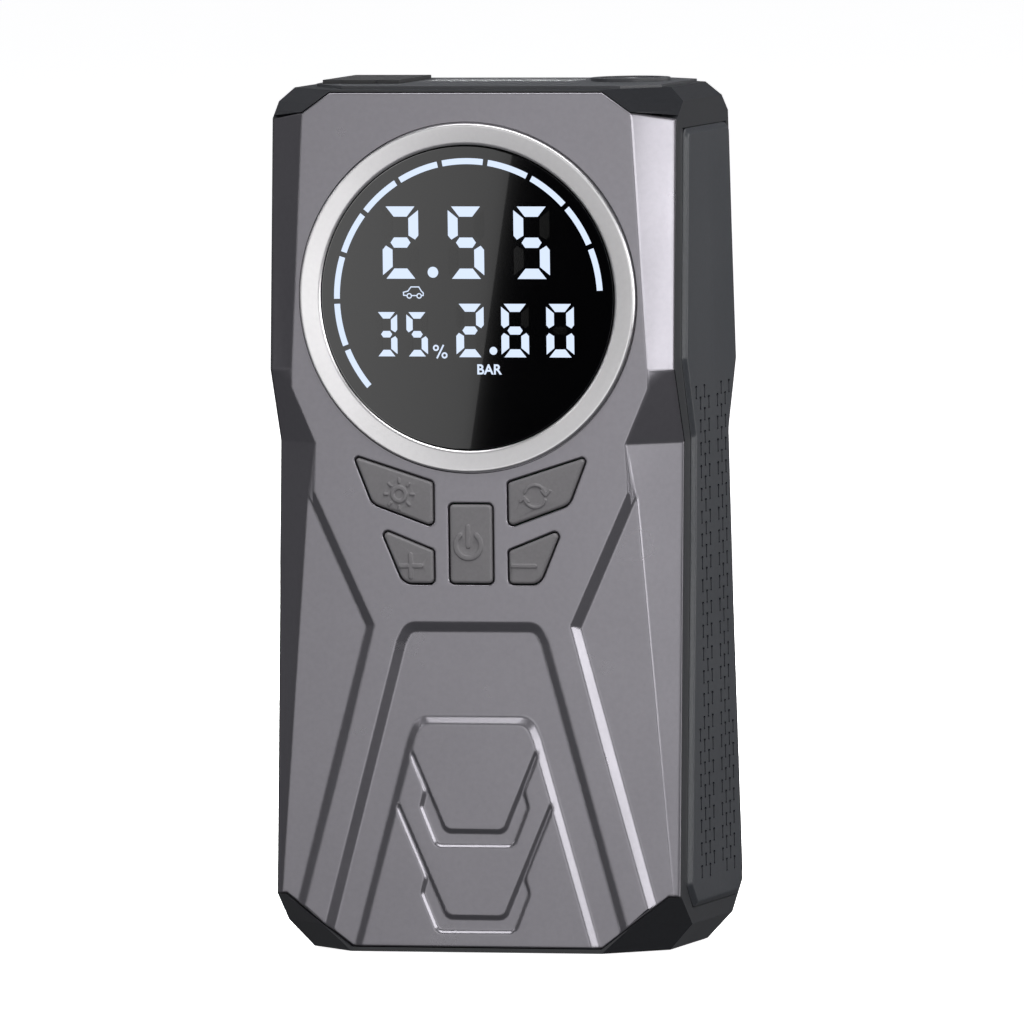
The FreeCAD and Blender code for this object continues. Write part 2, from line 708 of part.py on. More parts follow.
def build_led_light():
    lens = new_body("led_lens")
    prism(lens, "z", [box_loop(-16.8, 3.2, 14.8, 12.8)], deck - wall, deck)
    prism(lens, "z", [box_loop(-18.0, 2.0, 16.0, 14.0)], deck, dim("plateau_top"))
    finish("led_lens", lens)
    reflector = new_body("led_reflector")
    floor = 174.4
    prism(reflector, "z", [box_loop(-16.5, 3.0, 12.5, 13.0), box_loop(-15.0, 4.2, 11.0, 11.8)], floor, deck - wall)
    finish("led_reflector", reflector)
    board = new_body("led_board")
    prism(board, "z", [box_loop(-16.5, 3.0, 12.5, 13.0)], floor - 1.2, floor)
    finish("led_board", board)
    compound("led_chips", [block((x, 6.2, floor), (x + 3.6, 9.8, floor + 0.8)) for x in (-11.0, -3.8, 3.4)])


# ---------------------------------------------------------------- air pump
GEAR_CLEARANCE = 0.25
FLANK_THINNING = 0.06
PRESSURE_ANGLE = math.radians(20)


def gear_outline(teeth, module):
    """Corner points (u, v) of an involute spur gear, with one tooth centred on +u."""
    pitch = module * teeth / 2
    base = pitch * math.cos(PRESSURE_ANGLE)
    tip = pitch + module
    root = pitch - module * (1 + GEAR_CLEARANCE)
    involute = math.tan(PRESSURE_ANGLE) - PRESSURE_ANGLE
    half_tooth = math.pi / (2 * teeth) - FLANK_THINNING / pitch + involute
    start = max(base, root)
    flank = []
    for step in range(6):
        radius = start + (tip - start) * step / 5
        angle = math.acos(base / radius)
        flank.append((radius, half_tooth - (math.tan(angle) - angle)))
    side = [(root, flank[0][1])] + flank if root < base else flank
    points = []
    for tooth in range(teeth):
        middle = 2 * math.pi * tooth / teeth
        for radius, offset in side:
            points.append((radius, middle - offset))
        for radius, offset in reversed(side):
            points.append((radius, middle + offset))
    return [(radius * math.cos(angle), radius * math.sin(angle)) for radius, angle in points]


def gear_solid(teeth, module, start, width, centre, turn):
    """A spur gear about a line along X through centre (Y, Z), turned so that a tooth points at turn."""
    corners = []
    for u, v in gear_outline(teeth, module):
        across = u * math.cos(turn) - v * math.sin(turn)
        up = u * math.sin(turn) + v * math.cos(turn)
        corners.append(FreeCAD.Vector(float(start), float(centre[0]) + across, float(centre[1]) + up))
    face = Part.Face(Part.makePolygon(corners + corners[:1]))
    return face.extrude(FreeCAD.Vector(float(width), 0, 0))


def cylinder_along_x(start, length, radius, centre):
    return Part.makeCylinder(radius, length, FreeCAD.Vector(start, centre[0], centre[1]), FreeCAD.Vector(1, 0, 0))


def part_feature(label, shape):
    item = doc.addObject("Part::Feature", "shape_" + label)
    item.Shape = shape.removeSplitter()
    return finish(label, item)


def motor_axis():
    """Height of the motor shaft: one centre distance under the crank."""
    teeth = float(dim("pinion_teeth")) + float(dim("crank_teeth"))
    return float(dim("crank_height")) - float(dim("gear_module")) * teeth / 2


def build_gears():
    start = float(dim("gear_start"))
    width = float(dim("gear_wide"))
    module = float(dim("gear_module"))
    crank = (float(dim("pump_y")), float(dim("crank_height")))
    motor = (float(dim("pump_y")), motor_axis())
    pinion_teeth = int(dim("pinion_teeth"))
    wheel = gear_solid(int(dim("crank_teeth")), module, start, width, crank, -math.pi / 2)
    wheel = wheel.fuse(cylinder_along_x(start - 1.1, 1.2, 4.0, crank))
    wheel = wheel.fuse(cylinder_along_x(13.0, start - 12.0, 2.0, crank))
    for side in (-1, 1):
        hole = cylinder_along_x(start - 1, width + 2, 3.2, (crank[0] + side * 10.0, crank[1]))
        wheel = wheel.cut(hole)
    pin_centre = (crank[0], crank[1] + float(dim("crank_throw")))
    wheel = wheel.cut(cylinder_along_x(start + 1, width, 2.2, pin_centre))
    part_feature("crank_gear", wheel)
    crank_pin = rod("x", (dim("gear_start") + 1, dim("pump_y"), dim("crank_height") + dim("crank_throw")), 2.2,
                    dim("gear_wide") - 1 + 2.6)
    finish("crank_pin", crank_pin)
    pinion = gear_solid(pinion_teeth, module, start, width, motor, math.pi / 2 + math.pi / pinion_teeth)
    pinion = pinion.cut(cylinder_along_x(start - 1, width + 2, 1.0, motor))
    part_feature("motor_pinion", pinion)


def build_motor():
    front = dim("motor_front")
    back = front - dim("motor_long")
    radius = dim("motor_radius")
    hub = (0, dim("pump_y"), motor_axis())
    can = new_body("motor_can")
    turned(can, "x", hub, [(back, radius), (front, radius), (front, 3.1), (front + 1.5, 3.1), (front + 1.5, 1.05),
                           (front - 1, 1.05), (front - 1, radius - 1), (back, radius - 1)])
    finish("motor_can", can)
    cap = new_body("motor_end_cap")
    turned(cap, "x", hub, [(back, radius - 1), (back + 2.5, radius - 1), (back + 2.5, 1.05), (back - 1.2, 1.05),
                           (back - 1.2, 3.0), (back, 3.0)])
    finish("motor_end_cap", cap)
    y, z = float(dim("pump_y")), motor_axis()
    magnets = []
    for side in (-1, 1):
        ring = cylinder_along_x(-12.0, 20.0, 11.2, (y, z)).cut(cylinder_along_x(-12.0, 20.0, 9.2, (y, z)))
        low = y + 3.5 if side > 0 else y - 13.5
        magnets.append(ring.common(Part.makeBox(20.0, 10.0, 24.0, FreeCAD.Vector(-12.0, low, z - 12.0))))
    part_feature("motor_magnets", Part.makeCompound(magnets))
    rotor = new_body("motor_rotor")
    turned(rotor, "x", hub, [(back - 1.8, 0), (back - 1.8, 1.0), (back + 3.5, 1.0), (back + 3.5, 3.0),
                             (back + 8, 3.0), (back + 8, 8.4), (6.0, 8.4), (6.0, 1.0), (23.0, 1.0), (23.0, 0)])
    finish("motor_rotor", rotor)


def corner_places(reach):
    x, y = dim("pump_x"), dim("pump_y")
    return [(x + i * reach, y + j * reach) for i in (-1, 1) for j in (-1, 1)]


def build_pump():
    x, y = dim("pump_x"), dim("pump_y")
    bore = dim("bore_radius")
    plate = dim("motor_front")
    frame = new_body("pump_frame")
    flange_low, flange_high = 143.2, 146.0
    prism(frame, "x", [box_loop(y - 13.0, 88.0, y + 17.0, flange_high)], plate, plate + 2.0)
    prism(frame, "z", [box_loop(plate, y - 12.0, x + 12.0, y + 12.0)], flange_low, flange_high)
    cut(frame, "x", [((y, motor_axis()), 3.2), ((y, dim("crank_height")), 3.6)], plate - 1, plate + 3)
    cut(frame, "z", [((x, y), bore)], flange_low - 1, flange_high + 1)
    cut(frame, "z", [(place, 1.4) for place in corner_places(9.8)], flange_low - 1, flange_high + 1)
    finish("pump_frame", frame)
    bush = new_body("crank_bush")
    turned(bush, "x", (0, y, dim("crank_height")), [(plate - 0.8, 3.6), (plate + 2.0, 3.6), (plate + 2.0, 4.6),
                                                    (plate + 3.0, 4.6), (plate + 3.0, 2.05), (plate - 0.8, 2.05)])
    finish("crank_bush", bush)
    barrel = new_body("pump_cylinder")
    low = flange_high
    high = 170.0
    profile = [(low, bore), (low, bore + 1.6)]
    for fin in range(4):
        level = low + 5.0 + fin * 4.5
        profile += [(level, bore + 1.0), (level, bore + 2.4), (level + 1.2, bore + 2.4), (level + 1.2, bore + 1.0)]
    profile += [(high, bore + 1.0), (high, bore)]
    turned(barrel, "z", (x, y, 0), profile)
    prism(barrel, "z", [box_loop(x - 12.0, y - 12.0, x + 12.0, y + 12.0)], low, low + 2.5)
    cut(barrel, "z", [((x, y), bore)], low - 1, low + 3)
    cut(barrel, "z", [(place, 1.4) for place in corner_places(9.8)], low - 1, low + 24)
    finish("pump_cylinder", barrel)
    gasket = new_body("head_gasket")
    prism(gasket, "z", [((x, y), bore + 1.0), ((x, y), bore - 0.5)], high, high + 0.6)
    finish("head_gasket", gasket)
    head = new_body("cylinder_head")
    base = high + 0.6
    prism(head, "z", [box_loop(x - 12.0, y - 12.0, x + 12.0, y + 12.0)], base, base + 5.9)
    prism(head, "z", [((x, y), 4.5)], base + 5.9, base + 8.4)
    cut(head, "z", [((x, y), 1.5)], base - 1, base + 9.4)
    cut(head, "z", [(place, 1.4) for place in corner_places(9.8)], base - 1, base + 7)
    finish("cylinder_head", head)
    screws = []
    for u, v in corner_places(9.8):
        shank = rod("z", (u, v, flange_low), 1.3, base + 5.9 - flange_low)
        cap = rod("z", (u, v, base + 5.9), 2.1, 1.7)
        screws.append(fuse_all("pump_screw", [shank, cap]))
    compound("pump_screws", screws)
    finish("pressure_sensor", block((x - 3.5, y - 18.0, base + 0.4), (x + 3.5, y - 12.0, base + 5.4)))
    compound("pump_grommets", [rod("y", (plate + 1.0, y + 17.0, level), 2.6, half_depth - wall - y - 17.0)
                               for level in (93.0, 138.0)])
    outlet = new_body("air_outlet")
    turned(outlet, "z", (x, y, 0), [(179.0, 1.5), (179.0, 5.2), (186.2, 5.2), (186.2, 3.9), (185.7, 3.4),
                                    (179.8, 3.4), (179.8, 1.5)])
    finish("air_outlet", outlet)
    nut = new_body("outlet_nut")
    hexagon = [(x + 7.2 * math.cos(math.radians(60 * k)), y + 7.2 * math.sin(math.radians(60 * k))) for k in range(6)]
    prism(nut, "z", [hexagon, ((x, y), 5.2)], 180.4, deck - wall)
    finish("outlet_nut", nut)


def build_piston():
    """Piston at the top of its stroke, with the crank pin straight above the crank shaft."""
    x, y = dim("pump_x"), dim("pump_y")
    big_end = dim("crank_height") + dim("crank_throw")
    wrist = big_end + dim("rod_length")
    piston = new_body("piston")
    reach = dim("bore_radius") - 0.3
    turned(piston, "z", (x, y, 0), [(wrist - 2.5, 0), (wrist - 2.5, reach), (wrist + 2.2, reach),
                                    (wrist + 2.2, reach - 1.4), (wrist + 3.4, reach - 1.4), (wrist + 3.4, reach),
                                    (wrist + 4.2, reach), (wrist + 4.2, 0)])
    cut(piston, "z", [box_loop(x - 2.3, y - 5.0, x + 2.3, y + 5.0)], wrist - 3.5, wrist + 2.2)
    cut(piston, "x", [((y, wrist), 1.5)], x - 11.0, x + 11.0)
    finish("piston", piston)
    seal = new_body("piston_seal")
    prism(seal, "z", [((x, y), dim("bore_radius") - 0.05), ((x, y), reach - 1.4)], wrist + 2.2, wrist + 3.4)
    finish("piston_seal", seal)
    finish("wrist_pin", rod("x", (x - 8.0, y, wrist), 1.5, 16.0))
    arm = new_body("connecting_rod")
    prism(arm, "x", [box_loop(y - 2.6, big_end, y + 2.6, wrist)], x - 2.0, x + 2.0)
    prism(arm, "x", [((y, big_end), 4.6)], x - 2.0, x + 2.0)
    prism(arm, "x", [((y, wrist), 3.4)], x - 2.0, x + 2.0)
    cut(arm, "x", [((y, big_end), 2.6)], x - 3.0, x + 3.0)
    cut(arm, "x", [((y, wrist), 1.5)], x - 3.0, x + 3.0)
    cut(arm, "z", [box_loop(x - 3.0, y - 4.0, x + 3.0, y + 4.0)], wrist + 2.2, wrist + 6.0)
    finish("connecting_rod", arm)


def build_case_screws():
    screws = []
    for u, v in SCREWS:
        head = rod("y", (u, -9.0, v), 2.7, 2.2)
        shank = rod("y", (u, -20.0, v), 1.15, 11.0)
        screws.append(fuse_all("case_screw", [head, shank]))
    compound("case_screws", screws)


# ---------------------------------------------------------------- whole model
def build_all():
    shell = build_shell()
    cover_block = build_cover_block()
    build_front_cover(shell, cover_block)
    build_rear_case(shell, cover_block)
    build_side_panels()
    build_top_panel()
    build_socket_flap()
    build_usb_flap()
    build_display()
    build_control_board()
    build_keys()
    build_battery()
    build_main_board()
    build_jump_socket()
    build_usb()
    build_led_light()
    build_gears()
    build_motor()
    build_pump()
    build_piston()
    build_case_screws()
    build_rear_pads()


def check_features():
    """Stop on any failed feature, and on a pocket that removes nothing."""
    for item in doc.Objects:
        if "Invalid" in item.State or "Error" in item.State:
            raise RuntimeError("failed feature: %s in %s" % (item.Name, item.Label))
        if item.TypeId == "PartDesign::Pocket" and item.BaseFeature:
            if item.Shape.Volume > item.BaseFeature.Shape.Volume - 1e-3:
                raise RuntimeError("pocket cuts nothing: %s" % item.Name)


def export_nodes():
    for label, item in NODES.items():
        shape = item.Shape
        if shape.isNull() or not shape.isValid() or not shape.Solids:
            raise RuntimeError("bad shape: " + label)
        shape.exportStep("parts/%s.step" % label)
        bounds = shape.BoundBox
        print("%-18s solids %d volume %9.1f  x %7.2f %7.2f  y %7.2f %7.2f  z %7.2f %7.2f" % (
            label, len(shape.Solids), shape.Volume, bounds.XMin, bounds.XMax, bounds.YMin, bounds.YMax,
            bounds.ZMin, bounds.ZMax))


build_all()
doc.recompute()
check_features()
export_nodes()
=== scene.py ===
import bpy
import json
import math
import numpy as np
from mathutils import Matrix, Vector
from mathutils.geometry import delaunay_2d_cdt


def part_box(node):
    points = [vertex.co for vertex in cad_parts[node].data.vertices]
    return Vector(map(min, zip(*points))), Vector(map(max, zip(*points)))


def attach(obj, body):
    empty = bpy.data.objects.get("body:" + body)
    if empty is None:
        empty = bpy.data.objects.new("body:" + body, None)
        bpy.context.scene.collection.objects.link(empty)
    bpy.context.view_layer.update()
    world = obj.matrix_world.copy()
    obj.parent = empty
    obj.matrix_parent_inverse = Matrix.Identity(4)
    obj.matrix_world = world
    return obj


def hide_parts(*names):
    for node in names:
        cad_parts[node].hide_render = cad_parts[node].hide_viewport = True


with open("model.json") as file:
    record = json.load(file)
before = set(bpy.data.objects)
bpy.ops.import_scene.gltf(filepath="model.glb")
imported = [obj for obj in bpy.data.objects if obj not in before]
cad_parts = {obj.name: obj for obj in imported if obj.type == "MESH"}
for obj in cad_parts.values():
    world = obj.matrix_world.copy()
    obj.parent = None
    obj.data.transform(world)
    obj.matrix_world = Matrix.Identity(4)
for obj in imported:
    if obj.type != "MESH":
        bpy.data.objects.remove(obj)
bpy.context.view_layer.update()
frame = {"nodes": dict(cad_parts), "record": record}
NODES = frame["nodes"]
MM = 0.001

# ------------------------------------------------------------------ driving sizes, in millimetres
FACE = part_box("rear_case")[0][1] / MM
DISPLAY = (0.0, (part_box("display_lens")[0][2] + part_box("display_lens")[1][2]) / 2 / MM)
LENS_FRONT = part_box("display_lens")[0][1] / MM
RING_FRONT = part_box("display_bezel")[0][1] / MM
PANEL_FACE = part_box("side_panel_right")[1][0] / MM
# height, half width of the flat face, half width of the body, how far forward the side wall reaches
STATIONS = np.array([
    (0.0, 27.9, 39.8, 15.0), (5.7, 34.3, 45.1, 16.1), (12.1, 42.7, 45.1, 24.5), (109.2, 34.6, 45.1, 17.2),
    (121.2, 39.8, 45.1, 22.7), (125.0, 39.6, 45.1, 24.4), (178.6, 36.7, 45.1, 20.3),
    (180.25, 36.6, 45.1, 18.0), (182.1, 34.0, 45.1, 15.4), (185.0, 29.8, 42.0, 13.7)])
FLANK_DROP = 1.1
ARCH_DROP = 0.9
ARCH_RAMP = 2.05
CHEVRON_DROP = 0.5
CHEVRON_RAMP = 0.7
COVER_WALL = 2.2
KEY_WALL = 2.6
PANEL_WALL = 1.9
KEYS = {
    "button_light": [(-26.4, 106.9), (-22.05, 96.1), (-8.13, 91.05), (-8.13, 101.1)],
    "button_plus": [(-20.6, 91.35), (-15.3, 78.95), (-8.15, 78.95), (-8.15, 86.45)],
    "button_power": [(-5.0, 96.5), (-5.0, 79.0), (5.0, 79.0), (5.0, 96.5)],
}
KEY_CORNERS = {"button_light": [0.9, 3.2, 1.3, 1.1], "button_plus": [1.1, 3.2, 1.3, 1.1],
               "button_power": [1.2, 1.3, 1.3, 1.2]}


# ------------------------------------------------------------------ plane geometry
def mirrored(points):
    return [(-u, v) for u, v in reversed(points)]


for left, right in (("button_light", "button_mode"), ("button_plus", "button_minus")):
    KEYS[right] = mirrored(KEYS[left])
    KEY_CORNERS[right] = KEY_CORNERS[left][::-1]


def rounded(points, radii, closed=True, step=math.radians(12)):
    """A polygon or open line with an arc at each corner."""
    count = len(points)
    if isinstance(radii, (int, float)):
        radii = [radii] * count
    result = []
    for index in range(count):
        here = Vector(points[index])
        if not closed and index in (0, count - 1) or radii[index] <= 0:
            result.append(tuple(here))
            continue
        before = Vector(points[index - 1]) - here
        after = Vector(points[(index + 1) % count]) - here
        half = before.angle(after) / 2
        reach = min(radii[index] / math.tan(half), before.length * 0.49, after.length * 0.49)
        radius = reach * math.tan(half)
        middle = here + (before.normalized() + after.normalized()).normalized() * (radius / math.sin(half))
        start = here + before.normalized() * reach - middle
        end = here + after.normalized() * reach - middle
        turn = -start.angle_signed(end)
        steps = max(2, int(abs(turn) / step) + 1)
        for part in range(steps + 1):
            angle = turn * part / steps
            cos, sin = math.cos(angle), math.sin(angle)
            spoke = Vector((start.x * cos - start.y * sin, start.x * sin + start.y * cos))
            result.append(tuple(middle + spoke))
    return result


def shifted(points, distance, closed=True):
    """A line moved sideways: to the right of its direction, so outward for an anticlockwise loop."""
    count = len(points)
    result = []
    for index in range(count):
        here = Vector(points[index])
        before = here - Vector(points[index - 1]) if closed or index else None
        after = Vector(points[(index + 1) % count]) - here if closed or index < count - 1 else None
        before = before if before is not None else after
        after = after if after is not None else before
        first = Vector((before.y, -before.x)).normalized()
        second = Vector((after.y, -after.x)).normalized()
        joint = (first + second).normalized()
        result.append(tuple(here + joint * (distance / max(0.35, joint.dot(first)))))
    return result


def circle(centre, radius, count=96):
    angles = [2 * math.pi * index / count for index in range(count)]
    return [(centre[0] + radius * math.cos(a), centre[1] + radius * math.sin(a)) for a in angles]


def inside(loop, u, v):
    """Whether each point lies inside a loop, by the crossings of its edges."""
    result = np.zeros(len(u), bool)
    for (u0, v0), (u1, v1) in zip(loop, loop[1:] + loop[:1]):
        if v0 == v1:
            continue
        crosses = (v0 > v) != (v1 > v)
        result ^= crosses & (u < (u1 - u0) * (v - v0) / (v1 - v0) + u0)
    return result


def distance_to(line, closed=False):
    """A function giving the signed distance to a line: positive on its left."""
    points = np.array(line + line[:1] if closed else line, float)
    start, end = points[:-1], points[1:]
    along = end - start
    length = np.maximum(np.hypot(along[:, 0], along[:, 1]), 1e-9)

    def measure(u, v):
        best = np.full(len(u), 1e9)
        side = np.ones(len(u))
        for (su, sv), (au, av), size in zip(start, along, length):
            share = np.clip(((u - su) * au + (v - sv) * av) / size ** 2, 0, 1)
            gap = np.hypot(u - su - share * au, v - sv - share * av)
            cross = (au * (v - sv) - av * (u - su)) / size
            key = gap - 1e-6 * np.abs(cross)
            nearer = key < best
            best = np.where(nearer, key, best)
            side = np.where(nearer, np.where(cross >= 0, 1.0, -1.0), side)
        return best * side

    return measure


def softened(height, radius):
    """The mean of a height over a small disc, which rounds every crease."""
    samples = [(0.0, 0.0)]
    for ring in (0.5, 1.0):
        samples += circle((0, 0), radius * ring, 8 if ring < 1 else 12)

    def measure(u, v):
        return sum(height(u + du, v + dv) for du, dv in samples) / len(samples)

    return measure


def edge_round(distance, radius):
    """How far a rounded rim drops at a distance in from the edge."""
    inner = np.clip(radius - distance, 0, radius)
    return radius - np.sqrt(np.maximum(radius ** 2 - inner ** 2, 0))


# ------------------------------------------------------------------ mesh tools
def mesh_object(name, vertices, faces, body, smooth_angle=28.0):
    mesh = bpy.data.meshes.new(name)
    mesh.from_pydata([tuple(float(c) * MM for c in p) for p in vertices], [], [tuple(f) for f in faces])
    mesh.validate()
    mesh.update()
    for polygon in mesh.polygons:
        polygon.use_smooth = True
    mesh.set_sharp_from_angle(angle=math.radians(smooth_angle))
    item = bpy.data.objects.new(name, mesh)
    bpy.context.scene.collection.objects.link(item)
    even = item.modifiers.new("even", "WEIGHTED_NORMAL")
    even.mode = "FACE_AREA"
    even.weight = 50
    even.keep_sharp = True
    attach(item, body)
    return item


def relief(outline, holes, lines, height, place, wall, flip=False):
    """Vertices and faces of a sheet over an outline, with walls down its edges. It is triangulated along
    every line; height gives the drop at (u, v), and place turns (u, v, drop) into a point."""
    points, edges = [], []
    for line, closed in [(outline, True)] + [(hole, True) for hole in holes] + lines:
        first = len(points)
        points += [Vector(p) for p in line]
        count = len(line)
        edges += [(first + i, first + (i + 1) % count) for i in range(count if closed else count - 1)]
    out = delaunay_2d_cdt(points, edges, [], 0, 1e-4)
    flat = np.array([tuple(p) for p in out[0]])
    triangles = np.array([f for f in out[2] if len(f) == 3])
    middle = flat[triangles].mean(axis=1)
    keep = inside(outline, middle[:, 0], middle[:, 1])
    for hole in holes:
        keep &= ~inside(hole, middle[:, 0], middle[:, 1])
    a, b, c = (flat[triangles[:, i]] for i in range(3))
    area = (b[:, 0] - a[:, 0]) * (c[:, 1] - a[:, 1]) - (b[:, 1] - a[:, 1]) * (c[:, 0] - a[:, 0])
    keep &= np.abs(area) > 1e-9
    triangles = np.where((area > 0)[:, None], triangles, triangles[:, ::-1])[keep]
    drop = height(flat[:, 0], flat[:, 1])
    vertices = [place(u, v, d) for (u, v), d in zip(flat, drop)]
    directed = [(tri[i], tri[(i + 1) % 3]) for tri in triangles for i in range(3)]
    known = set(directed)
    faces = [tuple(t) for t in triangles]
    below = {}
    for first, second in directed:
        if (second, first) in known:
            continue
        for index in (first, second):
            if index not in below:
                below[index] = len(vertices)
                vertices.append(place(flat[index][0], flat[index][1], drop[index] + wall))
        faces.append((second, first, below[first], below[second]))
    used = sorted({index for face in faces for index in face})
    number = {old: new for new, old in enumerate(used)}
    faces = [tuple(number[index] for index in face) for face in faces]
    if flip:
        faces = [tuple(reversed(face)) for face in faces]
    return [vertices[index] for index in used], faces


def lathe(name, profile, centre, body, count=192, smooth_angle=32.0):
    """Turn a closed (y, radius) profile about a line along Y through centre (x, z)."""
    vertices, faces = [], []
    size = len(profile)
    for step in range(count):
        angle = 2 * math.pi * step / count
        cos, sin = math.cos(angle), math.sin(angle)
        vertices += [(centre[0] + r * cos, y, centre[1] + r * sin) for y, r in profile]
    for step in range(count):
        following = (step + 1) % count
        for index in range(size):
            after = (index + 1) % size
            faces.append((step * size + index, step * size + after, following * size + after,
                          following * size + index))
    return mesh_object(name, vertices, faces, body, smooth_angle)


def crisp(item, width, segments=3, angle=24.0):
    """Round the edges of a CAD node a little, without changing its mesh."""
    planar = item.modifiers.new("planar", "DECIMATE")
    planar.decimate_type = "DISSOLVE"
    planar.angle_limit = math.radians(1.0)
    bevel = item.modifiers.new("edges", "BEVEL")
    bevel.width = width * MM
    bevel.segments = segments
    bevel.limit_method = "ANGLE"
    bevel.angle_limit = math.radians(angle)
    bevel.harden_normals = True
    for polygon in item.data.polygons:
        polygon.use_smooth = True


# ------------------------------------------------------------------ materials
def new_material(name):
    material = bpy.data.materials.new(name)
    material.use_nodes = True
    tree = material.node_tree
    return material, tree, tree.nodes["Principled BSDF"]


def grain(tree, shader, scale, strength, distance, detail=4.0):
    """A fine moulded or painted grain in the bump."""
    place = tree.nodes.new("ShaderNodeTexCoord")
    noise = tree.nodes.new("ShaderNodeTexNoise")
    noise.inputs["Scale"].default_value = scale
    noise.inputs["Detail"].default_value = detail
    bump = tree.nodes.new("ShaderNodeBump")
    bump.inputs["Strength"].default_value = strength
    bump.inputs["Distance"].default_value = distance
    tree.links.new(place.outputs["Object"], noise.inputs["Vector"])
    tree.links.new(noise.outputs["Fac"], bump.inputs["Height"])
    tree.links.new(bump.outputs["Normal"], shader.inputs["Normal"])
    return noise


def varied(tree, shader, socket, noise, low, high):
    """Let a noise move a socket between two values or colours."""
    ramp = tree.nodes.new("ShaderNodeValToRGB")
    ramp.color_ramp.elements[0].position = 0.3
    ramp.color_ramp.elements[1].position = 0.7
    ramp.color_ramp.elements[0].color = low if isinstance(low, tuple) else (low, low, low, 1)
    ramp.color_ramp.elements[1].color = high if isinstance(high, tuple) else (high, high, high, 1)
    tree.links.new(noise.outputs["Fac"], ramp.inputs["Fac"])
    tree.links.new(ramp.outputs["Color"], shader.inputs[socket])


def moulded(name, colour, roughness, metallic=0.0, scale=1400.0, strength=0.12, distance=0.00006, spread=0.12,
            coat=0.0, coat_rough=0.1, specular=0.5):
    """Plastic, rubber, paint or metal: a base colour with slight variation, and a fine grain."""
    material, tree, shader = new_material(name)
    shader.inputs["Metallic"].default_value = metallic
    shader.inputs["Coat Weight"].default_value = coat
    shader.inputs["Coat Roughness"].default_value = coat_rough
    shader.inputs["Specular IOR Level"].default_value = specular
    noise = grain(tree, shader, scale, strength, distance)
    low = tuple(c * (1 - spread) for c in colour) + (1.0,)
    high = tuple(c * (1 + spread) for c in colour) + (1.0,)
    varied(tree, shader, "Base Color", noise, low, high)
    place = tree.nodes.new("ShaderNodeTexCoord")
    broad = tree.nodes.new("ShaderNodeTexNoise")
    broad.inputs["Scale"].default_value = 45.0
    broad.inputs["Detail"].default_value = 6.0
    tree.links.new(place.outputs["Object"], broad.inputs["Vector"])
    varied(tree, shader, "Roughness", broad, roughness * 0.92, min(1.0, roughness * 1.08))
    return material


def glowing(name, colour, strength):
    """The lit parts of the readout."""
    material, tree, shader = new_material(name)
    shader.inputs["Base Color"].default_value = (0.02, 0.02, 0.02, 1)
    shader.inputs["Emission Color"].default_value = colour + (1,)
    shader.inputs["Emission Strength"].default_value = strength
    noise = grain(tree, shader, 900.0, 0.02, 0.00002)
    varied(tree, shader, "Roughness", noise, 0.35, 0.45)
    return material


